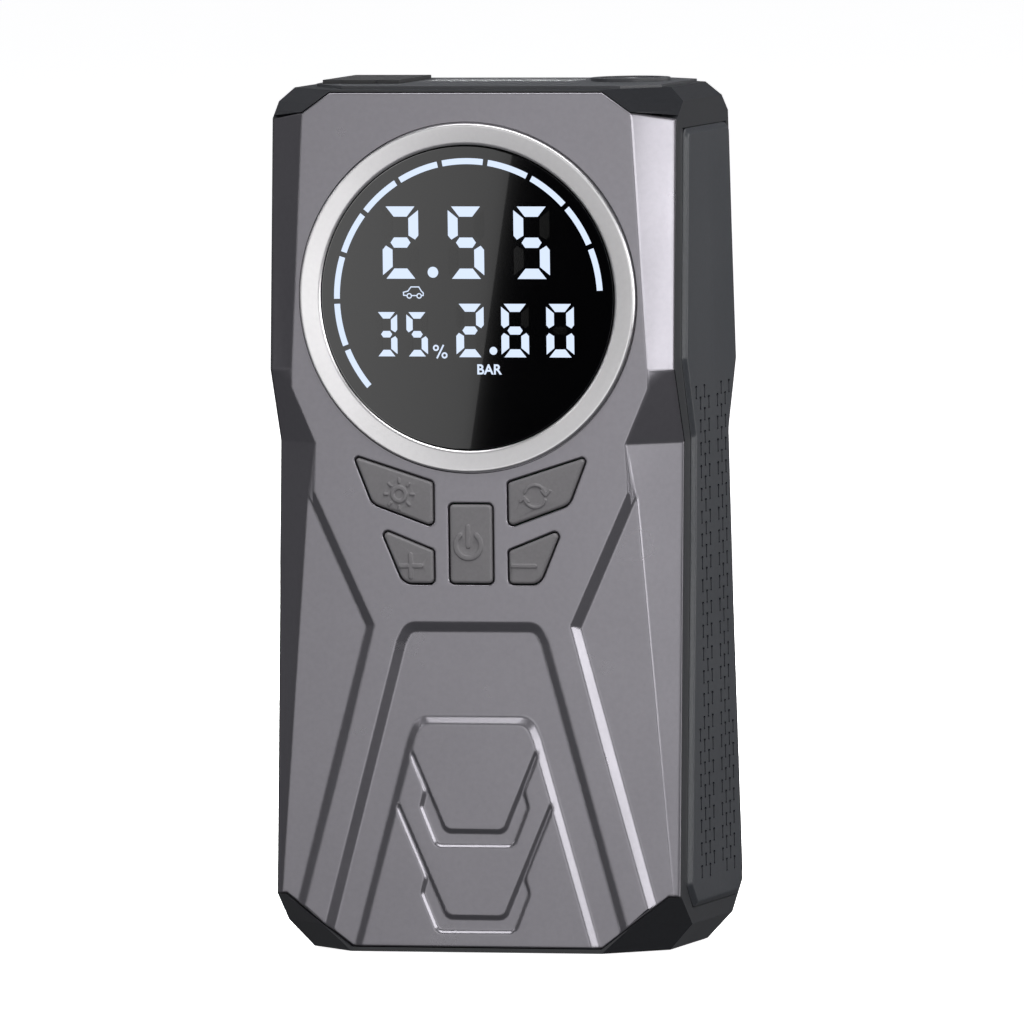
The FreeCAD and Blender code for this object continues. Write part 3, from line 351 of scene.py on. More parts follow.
MATERIALS = {
    "cover_paint": moulded("cover_paint", (0.265, 0.255, 0.28), 0.29, metallic=0.85, scale=900,
                           strength=0.012, distance=0.00002, spread=0.03, coat=0.1, coat_rough=0.2),
    "case_plastic": moulded("case_plastic", (0.020, 0.021, 0.024), 0.34, scale=1500, strength=0.06),
    "panel_plastic": moulded("panel_plastic", (0.034, 0.037, 0.043), 0.40, scale=1500, strength=0.06),
    "deck_plastic": moulded("deck_plastic", (0.045, 0.047, 0.052), 0.42, scale=1500, strength=0.08),
    "ring_silver": moulded("ring_silver", (0.76, 0.75, 0.76), 0.30, metallic=0.95, scale=900, strength=0.01,
                           distance=0.00002, spread=0.02),
    "lens_dark": moulded("lens_dark", (0.004, 0.004, 0.005), 0.05, scale=300, strength=0.0, spread=0.05,
                         coat=1.0, coat_rough=0.01),
    "key_rubber": moulded("key_rubber", (0.172, 0.166, 0.174), 0.50, scale=1700, strength=0.06, spread=0.05),
    "flap_rubber": moulded("flap_rubber", (0.028, 0.028, 0.030), 0.66, scale=3000, strength=0.30),
    "pad_rubber": moulded("pad_rubber", (0.018, 0.018, 0.018), 0.75, scale=2500, strength=0.35),
    "foam": moulded("foam", (0.02, 0.02, 0.02), 0.95, scale=1500, strength=0.8, distance=0.0002),
    "board_green": moulded("board_green", (0.012, 0.10, 0.045), 0.35, scale=700, strength=0.1, spread=0.35),
    "module_white": moulded("module_white", (0.70, 0.70, 0.68), 0.5),
    "switch_black": moulded("switch_black", (0.015, 0.015, 0.015), 0.45),
    "screw_steel": moulded("screw_steel", (0.20, 0.20, 0.21), 0.35, metallic=1.0, scale=900),
    "cell_foil": moulded("cell_foil", (0.62, 0.63, 0.65), 0.3, metallic=1.0, scale=220, strength=0.2,
                         distance=0.0002),
    "tray_plastic": moulded("tray_plastic", (0.02, 0.02, 0.023), 0.5),
    "nickel": moulded("nickel", (0.65, 0.60, 0.52), 0.25, metallic=1.0),
    "chip_black": moulded("chip_black", (0.02, 0.02, 0.02), 0.55),
    "capacitor_sleeve": moulded("capacitor_sleeve", (0.015, 0.02, 0.06), 0.3),
    "socket_blue": moulded("socket_blue", (0.012, 0.05, 0.32), 0.4),
    "gold_contact": moulded("gold_contact", (0.83, 0.60, 0.24), 0.22, metallic=1.0),
    "port_steel": moulded("port_steel", (0.60, 0.60, 0.61), 0.25, metallic=1.0),
    "reflector_chrome": moulded("reflector_chrome", (0.86, 0.86, 0.87), 0.08, metallic=1.0, strength=0.02),
    "led_yellow": moulded("led_yellow", (0.85, 0.75, 0.20), 0.5),
    "outlet_metal": moulded("outlet_metal", (0.66, 0.66, 0.67), 0.24, metallic=1.0, scale=1200,
                            strength=0.05),
    "pump_alloy": moulded("pump_alloy", (0.52, 0.52, 0.53), 0.42, metallic=1.0, scale=900, strength=0.3),
    "frame_steel": moulded("frame_steel", (0.42, 0.42, 0.43), 0.38, metallic=1.0, scale=500),
    "bronze": moulded("bronze", (0.45, 0.27, 0.12), 0.4, metallic=1.0),
    "gear_steel": moulded("gear_steel", (0.22, 0.22, 0.23), 0.45, metallic=1.0, scale=900),
    "pinion_brass": moulded("pinion_brass", (0.72, 0.52, 0.22), 0.3, metallic=1.0),
    "magnet": moulded("magnet", (0.05, 0.05, 0.055), 0.6),
    "rotor_copper": moulded("rotor_copper", (0.50, 0.23, 0.12), 0.35, metallic=1.0, scale=700),
    "seal_rubber": moulded("seal_rubber", (0.02, 0.02, 0.02), 0.6),
    "piston_plastic": moulded("piston_plastic", (0.62, 0.58, 0.50), 0.5),
    "digit_light": glowing("digit_light", (0.70, 0.81, 1.0), 1.0),
    "digit_dark": moulded("digit_dark", (0.0085, 0.0085, 0.009), 0.10, scale=300, strength=0.0, coat=1.0,
                          coat_rough=0.01),
}


def clear_plastic():
    material, tree, shader = new_material("lamp_clear")
    shader.inputs["Base Color"].default_value = (0.93, 0.95, 0.97, 1)
    shader.inputs["Transmission Weight"].default_value = 0.85
    shader.inputs["IOR"].default_value = 1.49
    noise = grain(tree, shader, 260.0, 0.15, 0.0003)
    varied(tree, shader, "Roughness", noise, 0.10, 0.2)
    return material


MATERIALS["lamp_clear"] = clear_plastic()


def paint(item, slot):
    item.data.materials.clear()
    item.data.materials.append(MATERIALS[slot])


for part in frame["record"]["subparts"]:
    slots = NODES[part["node"]].data.materials
    look = MATERIALS[part["material_slot"]]
    if not slots:
        slots.append(look)
    for index in range(len(slots)):
        slots[index] = look


# ------------------------------------------------------------------ front cover
GAP = 0.14
GROOVE = 37.72
GROOVE_DEPTH = 0.55
RING_HOLE = 36.6
CREASE_ROWS = (-0.46, -0.3, -0.15, 0.0, 0.15, 0.3, 0.46)
FLANK_TOP = [(34.9, 98.9), (21.75, 70.2), (28.2, 45.7), (38.2, 9.75)]
FLANK_FOOT = [(36.9, 98.4), (23.95, 69.7), (30.6, 45.7), (40.4, 9.3)]
ARCH_TOP = [(0.0, 70.95), (14.9, 70.95), (17.0, 66.95), (35.3, 0.0)]
INNER_TOP = [(0.0, 49.0), (11.6, 49.0), (13.2, 45.4), (25.9, 0.0)]
INNER_FOOT = [(0.0, 50.8), (13.0, 50.8), (14.9, 46.0), (27.7, 0.0)]
CHEVRONS = [
    ([(13.9, 44.2), (6.3, 26.35), (0.0, 26.35)],
     [(14.6, 42.4), (11.35, 34.6), (12.35, 31.2), (8.9, 22.5), (0.0, 22.5)]),
    ([(17.4, 33.6), (6.2, 7.85), (0.0, 7.85)],
     [(17.9, 31.4), (11.35, 16.0), (12.35, 12.6), (8.9, 4.0), (0.0, 4.0)]),
]


def whole(line):
    """A right-hand line continued into its mirror image at its end on the middle plane."""
    if abs(line[-1][0]) < 1e-9:
        return line[:-1] + [(-u, v) for u, v in reversed(line[:-1])]
    return [(-u, v) for u, v in reversed(line[1:])] + line[1:]


def base_drop(u, v):
    """The faceted outer shape: flat face, then a bevel out to the side wall."""
    front, side, rim = (np.interp(v, STATIONS[:, 0], STATIONS[:, i]) for i in (1, 2, 3))
    share = np.clip((np.abs(u) - front) / (side - front), 0, 1.1)
    return share * (-FACE - rim)


def key_hole(name):
    return rounded(KEYS[name], KEY_CORNERS[name])


def build_cover():
    body = STATIONS
    right = [(body[0][1], 0.9), (body[2][1], 12.1), (45.1, 12.1), (45.1, 178.6), (body[7][1], 180.25),
             (30.4, 184.6)]
    outline = shifted(right + mirrored(right), -GAP)
    flank_top = rounded(FLANK_TOP, 1.2, closed=False)
    flank_foot = rounded(FLANK_FOOT, 1.2, closed=False)
    arch = rounded(whole(ARCH_TOP), 4.6, closed=False)
    inner = rounded(whole(INNER_TOP), 3.4, closed=False)
    inner_foot = rounded(whole(INNER_FOOT), 4.6, closed=False)
    arch_foot = shifted(arch, ARCH_RAMP, closed=False)
    chevrons = [(rounded(whole(a), 1.6, closed=False), rounded(whole(b), 2.0, closed=False))
                for a, b in CHEVRONS]
    over_flank = distance_to(flank_top)
    over_flank_foot = distance_to(flank_foot)
    over_arch = distance_to(arch)
    over_inner = distance_to(inner)
    over_foot = distance_to(inner_foot)
    over_chevrons = [(distance_to(a), distance_to(b)) for a, b in chevrons]

    def recess(u, v):
        wide = np.abs(u)
        reach, rest = over_flank(wide, v), over_flank_foot(wide, v)
        ramp = np.clip(reach / np.maximum(reach - rest, 0.4), 0, 1)
        flank = np.where(reach > 0, np.where(rest > 0, 1.0, ramp), 0.0) * (v < 98.9) * (v > 9.3)
        outer = np.clip(-over_arch(u, v) / ARCH_RAMP, 0, 1)
        first, second = over_inner(u, v), over_foot(u, v)
        mound = np.clip(first / np.maximum(first - second, 0.4), 0, 1)
        channel = outer * np.where(first > 0, np.where(second > 0, 1.0, mound), 0.0)
        drop = np.maximum(flank * FLANK_DROP, channel * ARCH_DROP)
        for upper, lower in over_chevrons:
            band = (np.clip(upper(u, v) / CHEVRON_RAMP, 0, 1)
                    * np.clip(lower(u, v) / -CHEVRON_RAMP, 0, 1))
            drop = np.maximum(drop, band * CHEVRON_DROP * (first < 0))
        return drop

    def shape(u, v):
        return np.maximum(base_drop(u, v), recess(u, v))

    to_edge = distance_to(outline, closed=True)
    soft = softened(shape, 0.34)
    hole_edges = [distance_to(key_hole(name), closed=True) for name in KEYS]

    def height(u, v):
        drop = soft(u, v) + edge_round(np.maximum(to_edge(u, v), 0), 0.4)
        from_middle = np.hypot(u - DISPLAY[0], v - DISPLAY[1])
        drop = drop + GROOVE_DEPTH * np.clip((GROOVE - from_middle) / 0.16, 0, 1)
        for edge in hole_edges:
            drop = drop + edge_round(np.maximum(-edge(u, v), 0), 0.35)
        return drop

    lines = []

    def crease(line, rows=CREASE_ROWS, both=True):
        for row in rows:
            moved = shifted(line, row, closed=False)
            lines.append((moved, False))
            if both:
                lines.append((mirrored(moved), False))

    facet_edge = [(body[i][1], body[i][0]) for i in (2, 3, 4, 5, 6)] + [(36.6, 180.25)]
    crease(facet_edge)
    crease([(35.75 + FLANK_DROP, 98.0), (42.7 + 1.0, 12.1)])
    for index in (3, 5):
        crease([(body[index][1], body[index][0]), (body[index][2], body[index][0])])
    for line in (flank_top, flank_foot):
        crease(line)
    for line in (arch, arch_foot, inner, inner_foot):
        crease(line, both=False)
    for upper, lower in chevrons:
        crease(upper, (-1.1, -0.9, -0.7, -0.5, -0.35, -0.17, 0.0, 0.17, 0.35), both=False)
        crease(lower, (-0.35, -0.17, 0.0, 0.17, 0.35, 0.5, 0.7, 0.9, 1.1), both=False)
    for row in (-0.06, -0.15, -0.28, -0.42, -0.8):
        lines.append((shifted(outline, row), True))
    holes = [key_hole(name) for name in KEYS]
    for hole in holes:
        for row in (0.05, 0.12, 0.22, 0.36, 0.7):
            lines.append((shifted(hole, row), True))
    for row in (-0.16, -0.08, 0.0, 0.1):
        lines.append((circle(DISPLAY, GROOVE + row, 200), True))
    holes.append(circle(DISPLAY, RING_HOLE, 200))
    vertices, faces = relief(outline, holes, lines, height, lambda u, v, d: (u, FACE + d, v),
                             COVER_WALL)
    item = mesh_object("cover_skin", vertices, faces, "case")
    paint(item, "cover_paint")
    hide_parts("front_cover")


# ------------------------------------------------------------------ keys
def stroke(points, width, closed=False):
    """A raised line on a key: its points and half width."""
    return points, width / 2, closed


def arc(centre, radius, start, end, count=24):
    angles = [math.radians(start + (end - start) * i / count) for i in range(count + 1)]
    return [(centre[0] + radius * math.cos(a), centre[1] + radius * math.sin(a)) for a in angles]


def icon(name, centre):
    """The plain sign on a key, as strokes."""
    x, z = centre
    if name == "button_light":
        marks = [stroke(circle(centre, 1.45, 40), 0.85, True)]
        for index in range(8):
            angle = math.radians(45 * index)
            ray = [(x + r * math.cos(angle), z + r * math.sin(angle)) for r in (2.6, 3.25)]
            marks.append(stroke(ray, 0.55))
        return marks
    if name == "button_mode":
        marks = []
        for turn, rise in ((0, 0.9), (180, -0.9)):
            curve = arc(centre, 2.4, turn + 6, turn + 160)
            tip = curve[0]
            head = [(tip[0] + s * 0.9, tip[1] + rise) for s in (-1, 1)]
            marks += [stroke(curve, 0.6), stroke([head[0], tip, head[1]], 0.55)]
        return marks
    if name == "button_power":
        return [stroke(arc(centre, 2.8, 131, 409, 40), 1.05), stroke([(x, z - 0.2), (x, z + 3.9)], 1.0)]
    if name == "button_plus":
        return [stroke([(x - 2.4, z), (x + 2.4, z)], 0.9), stroke([(x, z - 2.4), (x, z + 2.4)], 0.95)]
    return [stroke([(x - 2.55, z), (x + 2.55, z)], 0.8)]


ICON_PLACES = {"button_light": (-15.8, 98.35), "button_mode": (14.5, 98.05), "button_power": (-0.5, 87.5),
               "button_plus": (-13.4, 83.0), "button_minus": (11.8, 83.1)}


def stroke_outline(points, reach, closed):
    """Closed loops at one distance all round a stroke."""
    if closed:
        return [shifted(points, reach), shifted(points, -reach)]
    side = shifted(points, reach, closed=False)
    back = shifted(points, -reach, closed=False)[::-1]
    caps = []
    for end, other in ((points[-1], points[-2]), (points[0], points[1])):
        outward = math.atan2(end[1] - other[1], end[0] - other[0])
        steps = [outward - math.pi / 2 + math.pi * k / 6 for k in range(1, 6)]
        caps.append([(end[0] + reach * math.cos(a), end[1] + reach * math.sin(a)) for a in steps])
    return [side + caps[0] + back + caps[1]]


def build_key(name, body):
    gap = 0.3
    stand = 0.4
    icon_height = 0.26
    outline = shifted(key_hole(name), -gap)
    marks = icon(name, ICON_PLACES[name])
    fields = [(distance_to(p, closed), half, closed) for p, half, closed in marks]
    to_edge = distance_to(outline, closed=True)
    middle = np.mean(outline, axis=0)

    def height(u, v):
        crown = 0.0009 * ((u - middle[0]) ** 2 + (v - middle[1]) ** 2)
        raised = np.zeros(len(u))
        for field, half, closed in fields:
            gap_to = np.abs(field(u, v))
            raised = np.maximum(raised, np.clip((half + 0.13 - gap_to) / 0.26, 0, 1))
        blend = raised * raised * (3 - 2 * raised)
        return crown - stand - icon_height * blend + edge_round(np.maximum(to_edge(u, v), 0), 0.62)

    lines = [(shifted(outline, row), True) for row in (-0.05, -0.12, -0.22, -0.34, -0.48, -0.64, -0.95)]
    for points, half, closed in marks:
        for row in (-0.14, -0.07, 0.0, 0.07, 0.14):
            if half + row > 0.04:
                lines += [(loop, True) for loop in stroke_outline(points, half + row, closed)]
    vertices, faces = relief(outline, [], lines, height, lambda u, v, d: (u, FACE + d, v), KEY_WALL)
    item = mesh_object(name + "_cap", vertices, faces, body, 40.0)
    paint(item, "key_rubber")
    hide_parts(name)


# ------------------------------------------------------------------ vent panels
PANEL_FRONT = [(-16.7, 9.3), (-21.3, 14.0), (-15.8, 80.7), (-14.0, 110.0), (-20.5, 127.1), (-17.1, 176.2)]
PANEL_MIDDLE = 1.2
VENT_MIDDLE = 1.4
VENT_PITCH = 4.9
VENT_TOP = 118.5


def slit(across, top):
    """A thin upright slit that widens into a small oval at each end."""
    half, long = 0.34, 3.0
    ends = ((top - 0.32, 0.78, 0.32, -62, 242, 10), (top - long + 0.25, 0.55, 0.25, 126, 414, 8))
    loops = []
    for height, wide, tall, start, stop, count in ends:
        oval = arc((0, 0), 1.0, start, stop, count)
        loops.append([(across + wide * u, height + tall * v) for u, v in oval])
    head, foot = loops
    left, right = across - half, across + half
    upper, lower = top - 0.75, top - long + 0.6
    return head + [(left, upper), (left, lower)] + foot + [(right, lower), (right, upper)]


def vent_slits():
    loops = []
    for side in (-1, 1):
        for column in range(4):
            across = VENT_MIDDLE + side * (3.45 + 3.2 * column)
            for row in range(23):
                top = VENT_TOP - row * VENT_PITCH + (column % 2) * VENT_PITCH / 2
                if top < 16.5 or (column == 3 and row > 0 and top > 52.0):
                    continue
                loops.append(slit(across, top))
    return loops


def build_panel(side):
    outline = rounded([(PANEL_MIDDLE + u, v) for u, v in PANEL_FRONT][::-1]
                      + [(PANEL_MIDDLE - u, v) for u, v in PANEL_FRONT], 2.2)
    to_edge = distance_to(outline, closed=True)
    chamfer = 1.0

    def shape(u, v):
        crown = 0.010 * np.abs(u - VENT_MIDDLE)
        return np.maximum(crown, crown + chamfer - np.maximum(to_edge(u, v), 0) * 0.9)

    height = softened(shape, 0.3)
    holes = vent_slits()
    if side < 0:
        holes.append(rounded([(-6.3, 122.2), (7.3, 122.2), (7.3, 156.8), (-6.3, 156.8)], 1.0))
    lines = [(shifted(outline, -row), True) for row in (0.15, 0.3, 0.7, 0.95, 1.11, 1.27, 1.45)]
    for row in (-0.3, -0.1, 0.1, 0.3):
        lines.append(([(VENT_MIDDLE + row, 11.0), (VENT_MIDDLE + row, 175.0)], False))
    vertices, faces = relief(outline, holes, lines, height,
                             lambda u, v, d: (side * (PANEL_FACE - d), u, v), PANEL_WALL, flip=side < 0)
    node = "side_panel_right" if side > 0 else "side_panel_left"
    item = mesh_object(node + "_skin", vertices, faces, "case")
    paint(item, "panel_plastic")
    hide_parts(node)


# ------------------------------------------------------------------ display
def build_ring():
    """The silver ring, dished towards the glass, and the glass in it."""
    outer = 37.4
    inner = 32.72
    front = [(0.45, outer), (0.22, outer - 0.06), (0.06, outer - 0.22), (0.0, outer - 0.45),
             (0.02, outer - 0.75), (0.50, inner + 0.75), (0.56, inner + 0.5), (0.66, inner + 0.2),
             (0.80, inner + 0.04), (0.95, inner)]
    profile = [(FACE + 0.2, outer - 0.02)] + [(RING_FRONT + y, r) for y, r in front] + [
        (FACE + 0.9, inner), (FACE + 0.9, outer - 3.6), (FACE + 0.2, outer - 3.6)]
    item = lathe("display_ring", profile, DISPLAY, "case", 256)
    paint(item, "ring_silver")
    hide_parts("display_bezel")
    radius = 32.55
    lens = lathe("display_glass", [(LENS_FRONT, 0.0), (LENS_FRONT, radius - 0.25),
                                   (LENS_FRONT + 0.08, radius - 0.07), (LENS_FRONT + 0.25, radius),
                                   (LENS_FRONT + 1.3, radius), (LENS_FRONT + 1.3, 0.0)],
                 DISPLAY, "case", 256)
    paint(lens, "lens_dark")
    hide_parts("display_lens")


SEGMENTS = {"0": "abcdef", "2": "abged", "3": "abgcd", "5": "afgcd", "6": "afgcde"}


def segment_shapes(width, height, thick):
    """The seven bars of a digit about its middle, as corner lists."""
    w, h, t = width / 2, height / 2, thick
    g = t * 0.16
    low = h * 0.02
    top = [(-w + 2.2 * g, h), (w - 2.2 * g, h), (w - t - g, h - t), (-w + t + g, h - t)]
    middle = [(-w + t * 0.55 + 1.6 * g, 0), (-w + t + g, t / 2), (w - t - g, t / 2),
              (w - t * 0.55 - 1.6 * g, 0), (w - t - g, -t / 2), (-w + t + g, -t / 2)]
    upper = [(w, h - 2.2 * g), (w, low + t * 0.62), (w - t * 0.34, low + g * 1.4), (w - t, low + t * 0.62),
             (w - t, h - t - g)]
    return {
        "a": top, "g": middle, "b": upper,
        "c": [(u, -v) for u, v in reversed(upper)],
        "d": [(u, -v) for u, v in reversed(top)],
        "e": [(-u, -v) for u, v in upper],
        "f": [(-u, v) for u, v in reversed(upper)],
    }


ARC_MIDDLE = (DISPLAY[0] + 0.3, DISPLAY[1])
FIGURE_FACE = LENS_FRONT - 0.02


def build_readout():
    """Lit figures, gauge arc and signs, and the unlit bars, a hair in front of the glass."""
    shapes, unlit = [], []

    def digits(text, first, step, row, width, height, thick):
        for index, figure in enumerate(text):
            for bar, points in segment_shapes(width, height, thick).items():
                target = shapes if bar in SEGMENTS[figure] else unlit
                target.append([(first + index * step + u, row + v) for u, v in points])

    row = DISPLAY[1]
    digits("255", -14.65, 14.6, row + 11.85, 8.0, 15.5, 2.2)
    digits("260", 0.6, 10.03, row - 6.95, 6.15, 11.45, 1.72)
    digits("35", -18.0, 6.8, row - 7.8, 4.75, 9.5, 1.4)
    shapes.append(circle((-7.5, row + 5.5), 1.18, 32))
    shapes.append(circle((5.75, row - 11.3), 0.86, 32))
    for index in range(11):
        start = 220.3 - 19.93 * index
        outer = arc(ARC_MIDDLE, 29.95, start, start - 17.8, 14)
        inner = arc(ARC_MIDDLE, 28.65, start - 17.8, start, 14)
        shapes.append(outer + inner)

    def outline_shape(points, width, closed=False):
        line = points + points[:1] if closed else points
        near, far = (shifted(line, side * width / 2, closed=False) for side in (1, -1))
        shapes.append(near + far[::-1])

    x, z = -11.9, row + 1.15
    car = [(-1.35, -0.65), (-2.2, -0.6), (-2.25, 0.05), (-1.25, 0.3), (-0.55, 1.2), (1.2, 1.2), (1.75, 0.3),
           (2.2, -0.1), (2.15, -0.65), (1.75, -0.65)]
    outline_shape([(x + du, z + dv) for du, dv in car], 0.24)
    outline_shape([(x - 0.45, z - 0.65), (x + 0.75, z - 0.65)], 0.24)
    for wheel in (-0.95, 1.25):
        outline_shape(circle((x + wheel, z - 0.72), 0.48, 20), 0.24, True)
    x, z = -6.1, row - 11.5
    for du, dv in ((-0.95, 0.8), (0.95, -0.8)):
        outline_shape(circle((x + du, z + dv), 0.5, 20), 0.36, True)
    outline_shape([(x - 0.75, z - 1.45), (x + 0.75, z + 1.45)], 0.36)
    for name, loops, slot in (("display_figures", shapes, "digit_light"),
                              ("display_unlit", unlit, "digit_dark")):
        vertices, faces = [], []
        for loop in loops:
            if sum(a[0] * b[1] - b[0] * a[1] for a, b in zip(loop, loop[1:] + loop[:1])) < 0:
                loop = loop[::-1]
            first = len(vertices)
            vertices += [(u, FIGURE_FACE, v) for u, v in loop]
            faces.append(tuple(range(first, first + len(loop))))
        item = mesh_object(name, vertices, faces, "case")
        paint(item, slot)
    curve = bpy.data.curves.new("unit_sign", "FONT")
    curve.body = "BAR"
    curve.size = 3.0 * MM
    curve.offset = 0.07 * MM
    curve.align_x = "CENTER"
    curve.align_y = "CENTER"
    text = bpy.data.objects.new("unit_text", curve)
    bpy.context.scene.collection.objects.link(text)
    bpy.context.view_layer.update()
    mesh = bpy.data.meshes.new_from_object(text)
    bpy.data.objects.remove(text)
    sign = [(4.7 + v.co.x / MM, FIGURE_FACE, row - 15.4 + v.co.y / MM) for v in mesh.vertices]
    item = mesh_object("display_unit", sign, [tuple(p.vertices) for p in mesh.polygons], "case")
    paint(item, "digit_light")


# ------------------------------------------------------------------ the rest: CAD nodes with finer edges
def build_edges():
    for name, width in (("rear_case", 0.45), ("top_panel", 0.35), ("socket_flap", 0.35), ("usb_flap", 0.35),
                        ("led_lens", 0.25), ("rear_pads", 0.4), ("air_outlet", 0.15), ("jump_socket", 0.3),
                        ("usb_a_port", 0.08), ("usb_c_port", 0.08)):
        crisp(NODES[name], width)


# ------------------------------------------------------------------ light, floor and camera
def emission(name, strength, stops=None, sheer=False):
    """A light card's material. With stops it changes across the card: (share, level) pairs.
    A sheer card adds its glow and lets what is behind it show."""
    material = bpy.data.materials.new(name)
    material.use_nodes = True
    tree = material.node_tree
    tree.nodes.clear()
    output = tree.nodes.new("ShaderNodeOutputMaterial")
    light = tree.nodes.new("ShaderNodeEmission")
    light.inputs["Strength"].default_value = strength
    tree.links.new(light.outputs["Emission"], output.inputs["Surface"])
    if sheer:
        through = tree.nodes.new("ShaderNodeBsdfTransparent")
        both = tree.nodes.new("ShaderNodeAddShader")
        tree.links.new(light.outputs["Emission"], both.inputs[0])
        tree.links.new(through.outputs["BSDF"], both.inputs[1])
        tree.links.new(both.outputs["Shader"], output.inputs["Surface"])
    if stops:
        place = tree.nodes.new("ShaderNodeTexCoord")
        split = tree.nodes.new("ShaderNodeSeparateXYZ")
        ramp = tree.nodes.new("ShaderNodeValToRGB")
        fill_ramp(ramp.color_ramp, stops)
        tree.links.new(place.outputs["UV"], split.inputs["Vector"])
        tree.links.new(split.outputs["X"], ramp.inputs["Fac"])
        tree.links.new(ramp.outputs["Color"], light.inputs["Color"])
    return material


def fill_ramp(ramp, stops):
    while len(ramp.elements) < len(stops):
        ramp.elements.new(0.5)
    for index, (share, level) in enumerate(stops):
        ramp.elements[index].position = share
        ramp.elements[index].color = (level, level, level, 1)


def compass(azimuth, elevation):
    """A unit vector towards a compass direction: 0 is the front, 90 the right."""
    a, e = math.radians(azimuth), math.radians(elevation)
    return Vector((math.sin(a) * math.cos(e), -math.cos(a) * math.cos(e), math.sin(e)))


def card(name, azimuth, elevation, distance, width, height, strength, stops=None, shift=0.0, tilt=0.0,
         only=None, spare=None, glossy=True):
    """A glowing sheet that faces the object from a compass direction. The camera doesn't see it.
    It lights every piece, or the pieces in only, or all but those in spare."""
    back = compass(azimuth, elevation)
    across = Vector((math.cos(math.radians(azimuth)), math.sin(math.radians(azimuth)), 0))
    up = back.cross(across)
    cos, sin = math.cos(tilt), math.sin(tilt)
    across, up = across * cos + up * sin, up * cos - across * sin
    middle = Vector((0, FACE * MM, 0.1)) + back * distance + across * shift
    spots = ((0, 0), (1, 0), (1, 1), (0, 1))
    corners = [middle + across * ((u - 0.5) * width) + up * ((v - 0.5) * height) for u, v in spots]
    mesh = bpy.data.meshes.new(name)
    mesh.from_pydata([tuple(c) for c in corners], [], [(3, 2, 1, 0)])
    layer = mesh.uv_layers.new(name="UVMap")
    for loop in mesh.loops:
        layer.data[loop.index].uv = spots[loop.vertex_index]
    item = bpy.data.objects.new(name, mesh)
    bpy.context.scene.collection.objects.link(item)
    mesh.materials.append(emission(name, strength, stops, sheer=bool(only)))
    item.visible_camera = False
    item.visible_glossy = glossy
    item.visible_shadow = False
    if only or spare:
        group = bpy.data.collections.new(name + "_takers")
        for taker in only or spare:
            group.objects.link(taker)
        if spare:
            for member in group.collection_objects:
                member.light_linking.link_state = "EXCLUDE"
        item.light_linking.receiver_collection = group


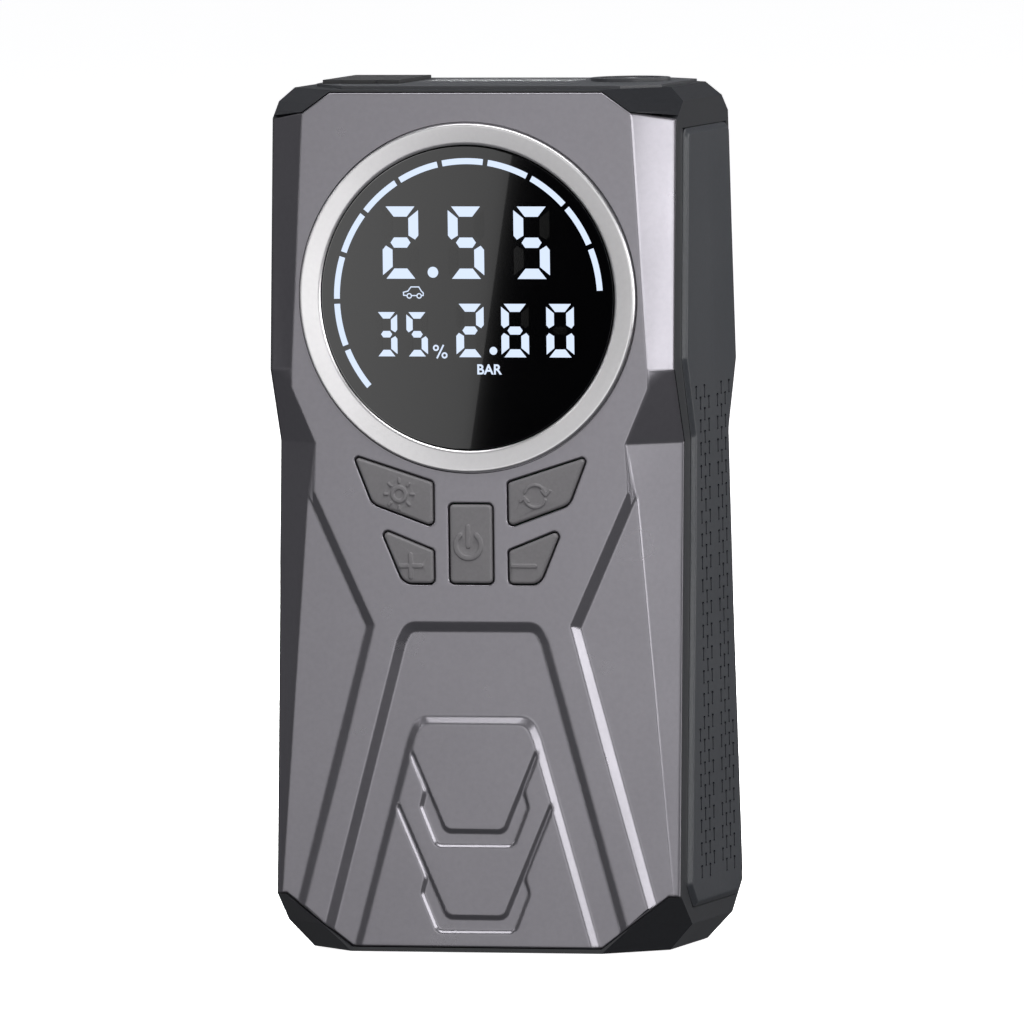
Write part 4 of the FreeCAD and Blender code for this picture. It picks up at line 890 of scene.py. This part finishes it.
def build_stage():
    floor_mesh = bpy.data.meshes.new("floor")
    reach = 14.0
    corners = [(-reach, -reach, 0), (reach, -reach, 0), (reach, reach, 0), (-reach, reach, 0)]
    floor_mesh.from_pydata(corners, [], [(0, 1, 2, 3)])
    floor = bpy.data.objects.new("floor", floor_mesh)
    bpy.context.scene.collection.objects.link(floor)
    floor.location.z = -0.0002
    material, tree, shader = new_material("floor_pale")
    noise = grain(tree, shader, 30.0, 0.02, 0.001)
    varied(tree, shader, "Base Color", noise, (0.86, 0.86, 0.86, 1), (0.89, 0.89, 0.89, 1))
    shader.inputs["Roughness"].default_value = 0.9
    shader.inputs["Emission Color"].default_value = (1, 1, 1, 1)
    shader.inputs["Emission Strength"].default_value = 0.88
    floor_mesh.materials.append(material)
    floor.visible_glossy = False
    floor.visible_diffuse = False
    world = bpy.data.worlds.new("studio")
    bpy.context.scene.world = world
    world.use_nodes = True
    background = world.node_tree.nodes["Background"]
    background.inputs["Color"].default_value = (0.93, 0.94, 1.0, 1)
    background.inputs["Strength"].default_value = 0.11
    glass = [bpy.data.objects[name] for name in ("display_glass", "display_unlit")]
    painted = glass + [bpy.data.objects["cover_skin"]]
    card("sweep_card", -18, 0, 0.8, 0.9, 0.5, 1.5,
         [(0.0, 0.08), (0.25, 0.27), (0.5, 0.54), (0.72, 1.0), (1.0, 1.0)], spare=glass)
    card("strip_card", -43, 3, 0.9, 0.09, 0.7, 6.0, spare=glass)
    card("right_card", 45, 9, 0.9, 0.55, 0.36, 4.3, spare=glass)
    card("lower_card", 72, 2, 1.0, 0.22, 0.4, 1.3, spare=glass)
    card("edge_card", 82, 4, 1.0, 0.12, 0.6, 9.0, spare=painted)
    card("back_right_card", 122, 12, 1.0, 0.7, 0.8, 2.2)
    card("back_card", 190, 25, 1.1, 1.0, 0.8, 9.0, glossy=False)
    card("back_left_card", -135, 20, 1.1, 0.8, 0.8, 9.0, glossy=False)
    card("top_card", 5, 62, 1.0, 0.9, 0.5, 5.0, spare=glass)
    card("glass_card", -16.2, -3.0, 0.6, 0.32, 0.7, 4.0,
         [(0.0, 1.0), (0.45, 0.85), (0.8, 0.3), (1.0, 0.2)],
         shift=-0.16, tilt=math.radians(-9), only=glass)


def build_camera():
    """The photograph's view: a long lens, a little to the right of the front and slightly above."""
    azimuth, elevation, roll = 16.2, 3.51, math.radians(0.743)
    distance = 4.24
    pixels_per_metre = 4650.0
    back = compass(azimuth, elevation)
    right = Vector((math.cos(math.radians(azimuth)), math.sin(math.radians(azimuth)), 0))
    up = back.cross(right)
    pivot = Vector((0, -0.005, 0.1045))
    eye = pivot + back * distance
    aside, above = 0.00287, -0.01131
    across = right * math.cos(roll) - up * math.sin(roll)
    upward = up * math.cos(roll) + right * math.sin(roll)
    aim = pivot + across * aside + upward * above
    forward = (aim - eye).normalized()
    side = (across - forward * across.dot(forward)).normalized()
    top = side.cross(forward)
    camera = bpy.data.cameras.new("camera")
    camera.sensor_width = 36.0
    camera.lens = pixels_per_metre * distance * camera.sensor_width / 1024.0
    camera.clip_end = 50.0
    item = bpy.data.objects.new("camera", camera)
    bpy.context.scene.collection.objects.link(item)
    turn = Matrix((side, top, -forward)).transposed()
    item.matrix_world = Matrix.Translation(eye) @ turn.to_4x4()
    bpy.context.scene.camera = item
    bpy.context.scene.view_settings.view_transform = "Standard"


build_cover()
for key_name in KEYS:
    build_key(key_name, key_name.replace("button_", "") + "_key")
build_panel(1)
build_panel(-1)
build_ring()
build_readout()
build_edges()
build_stage()
build_camera()
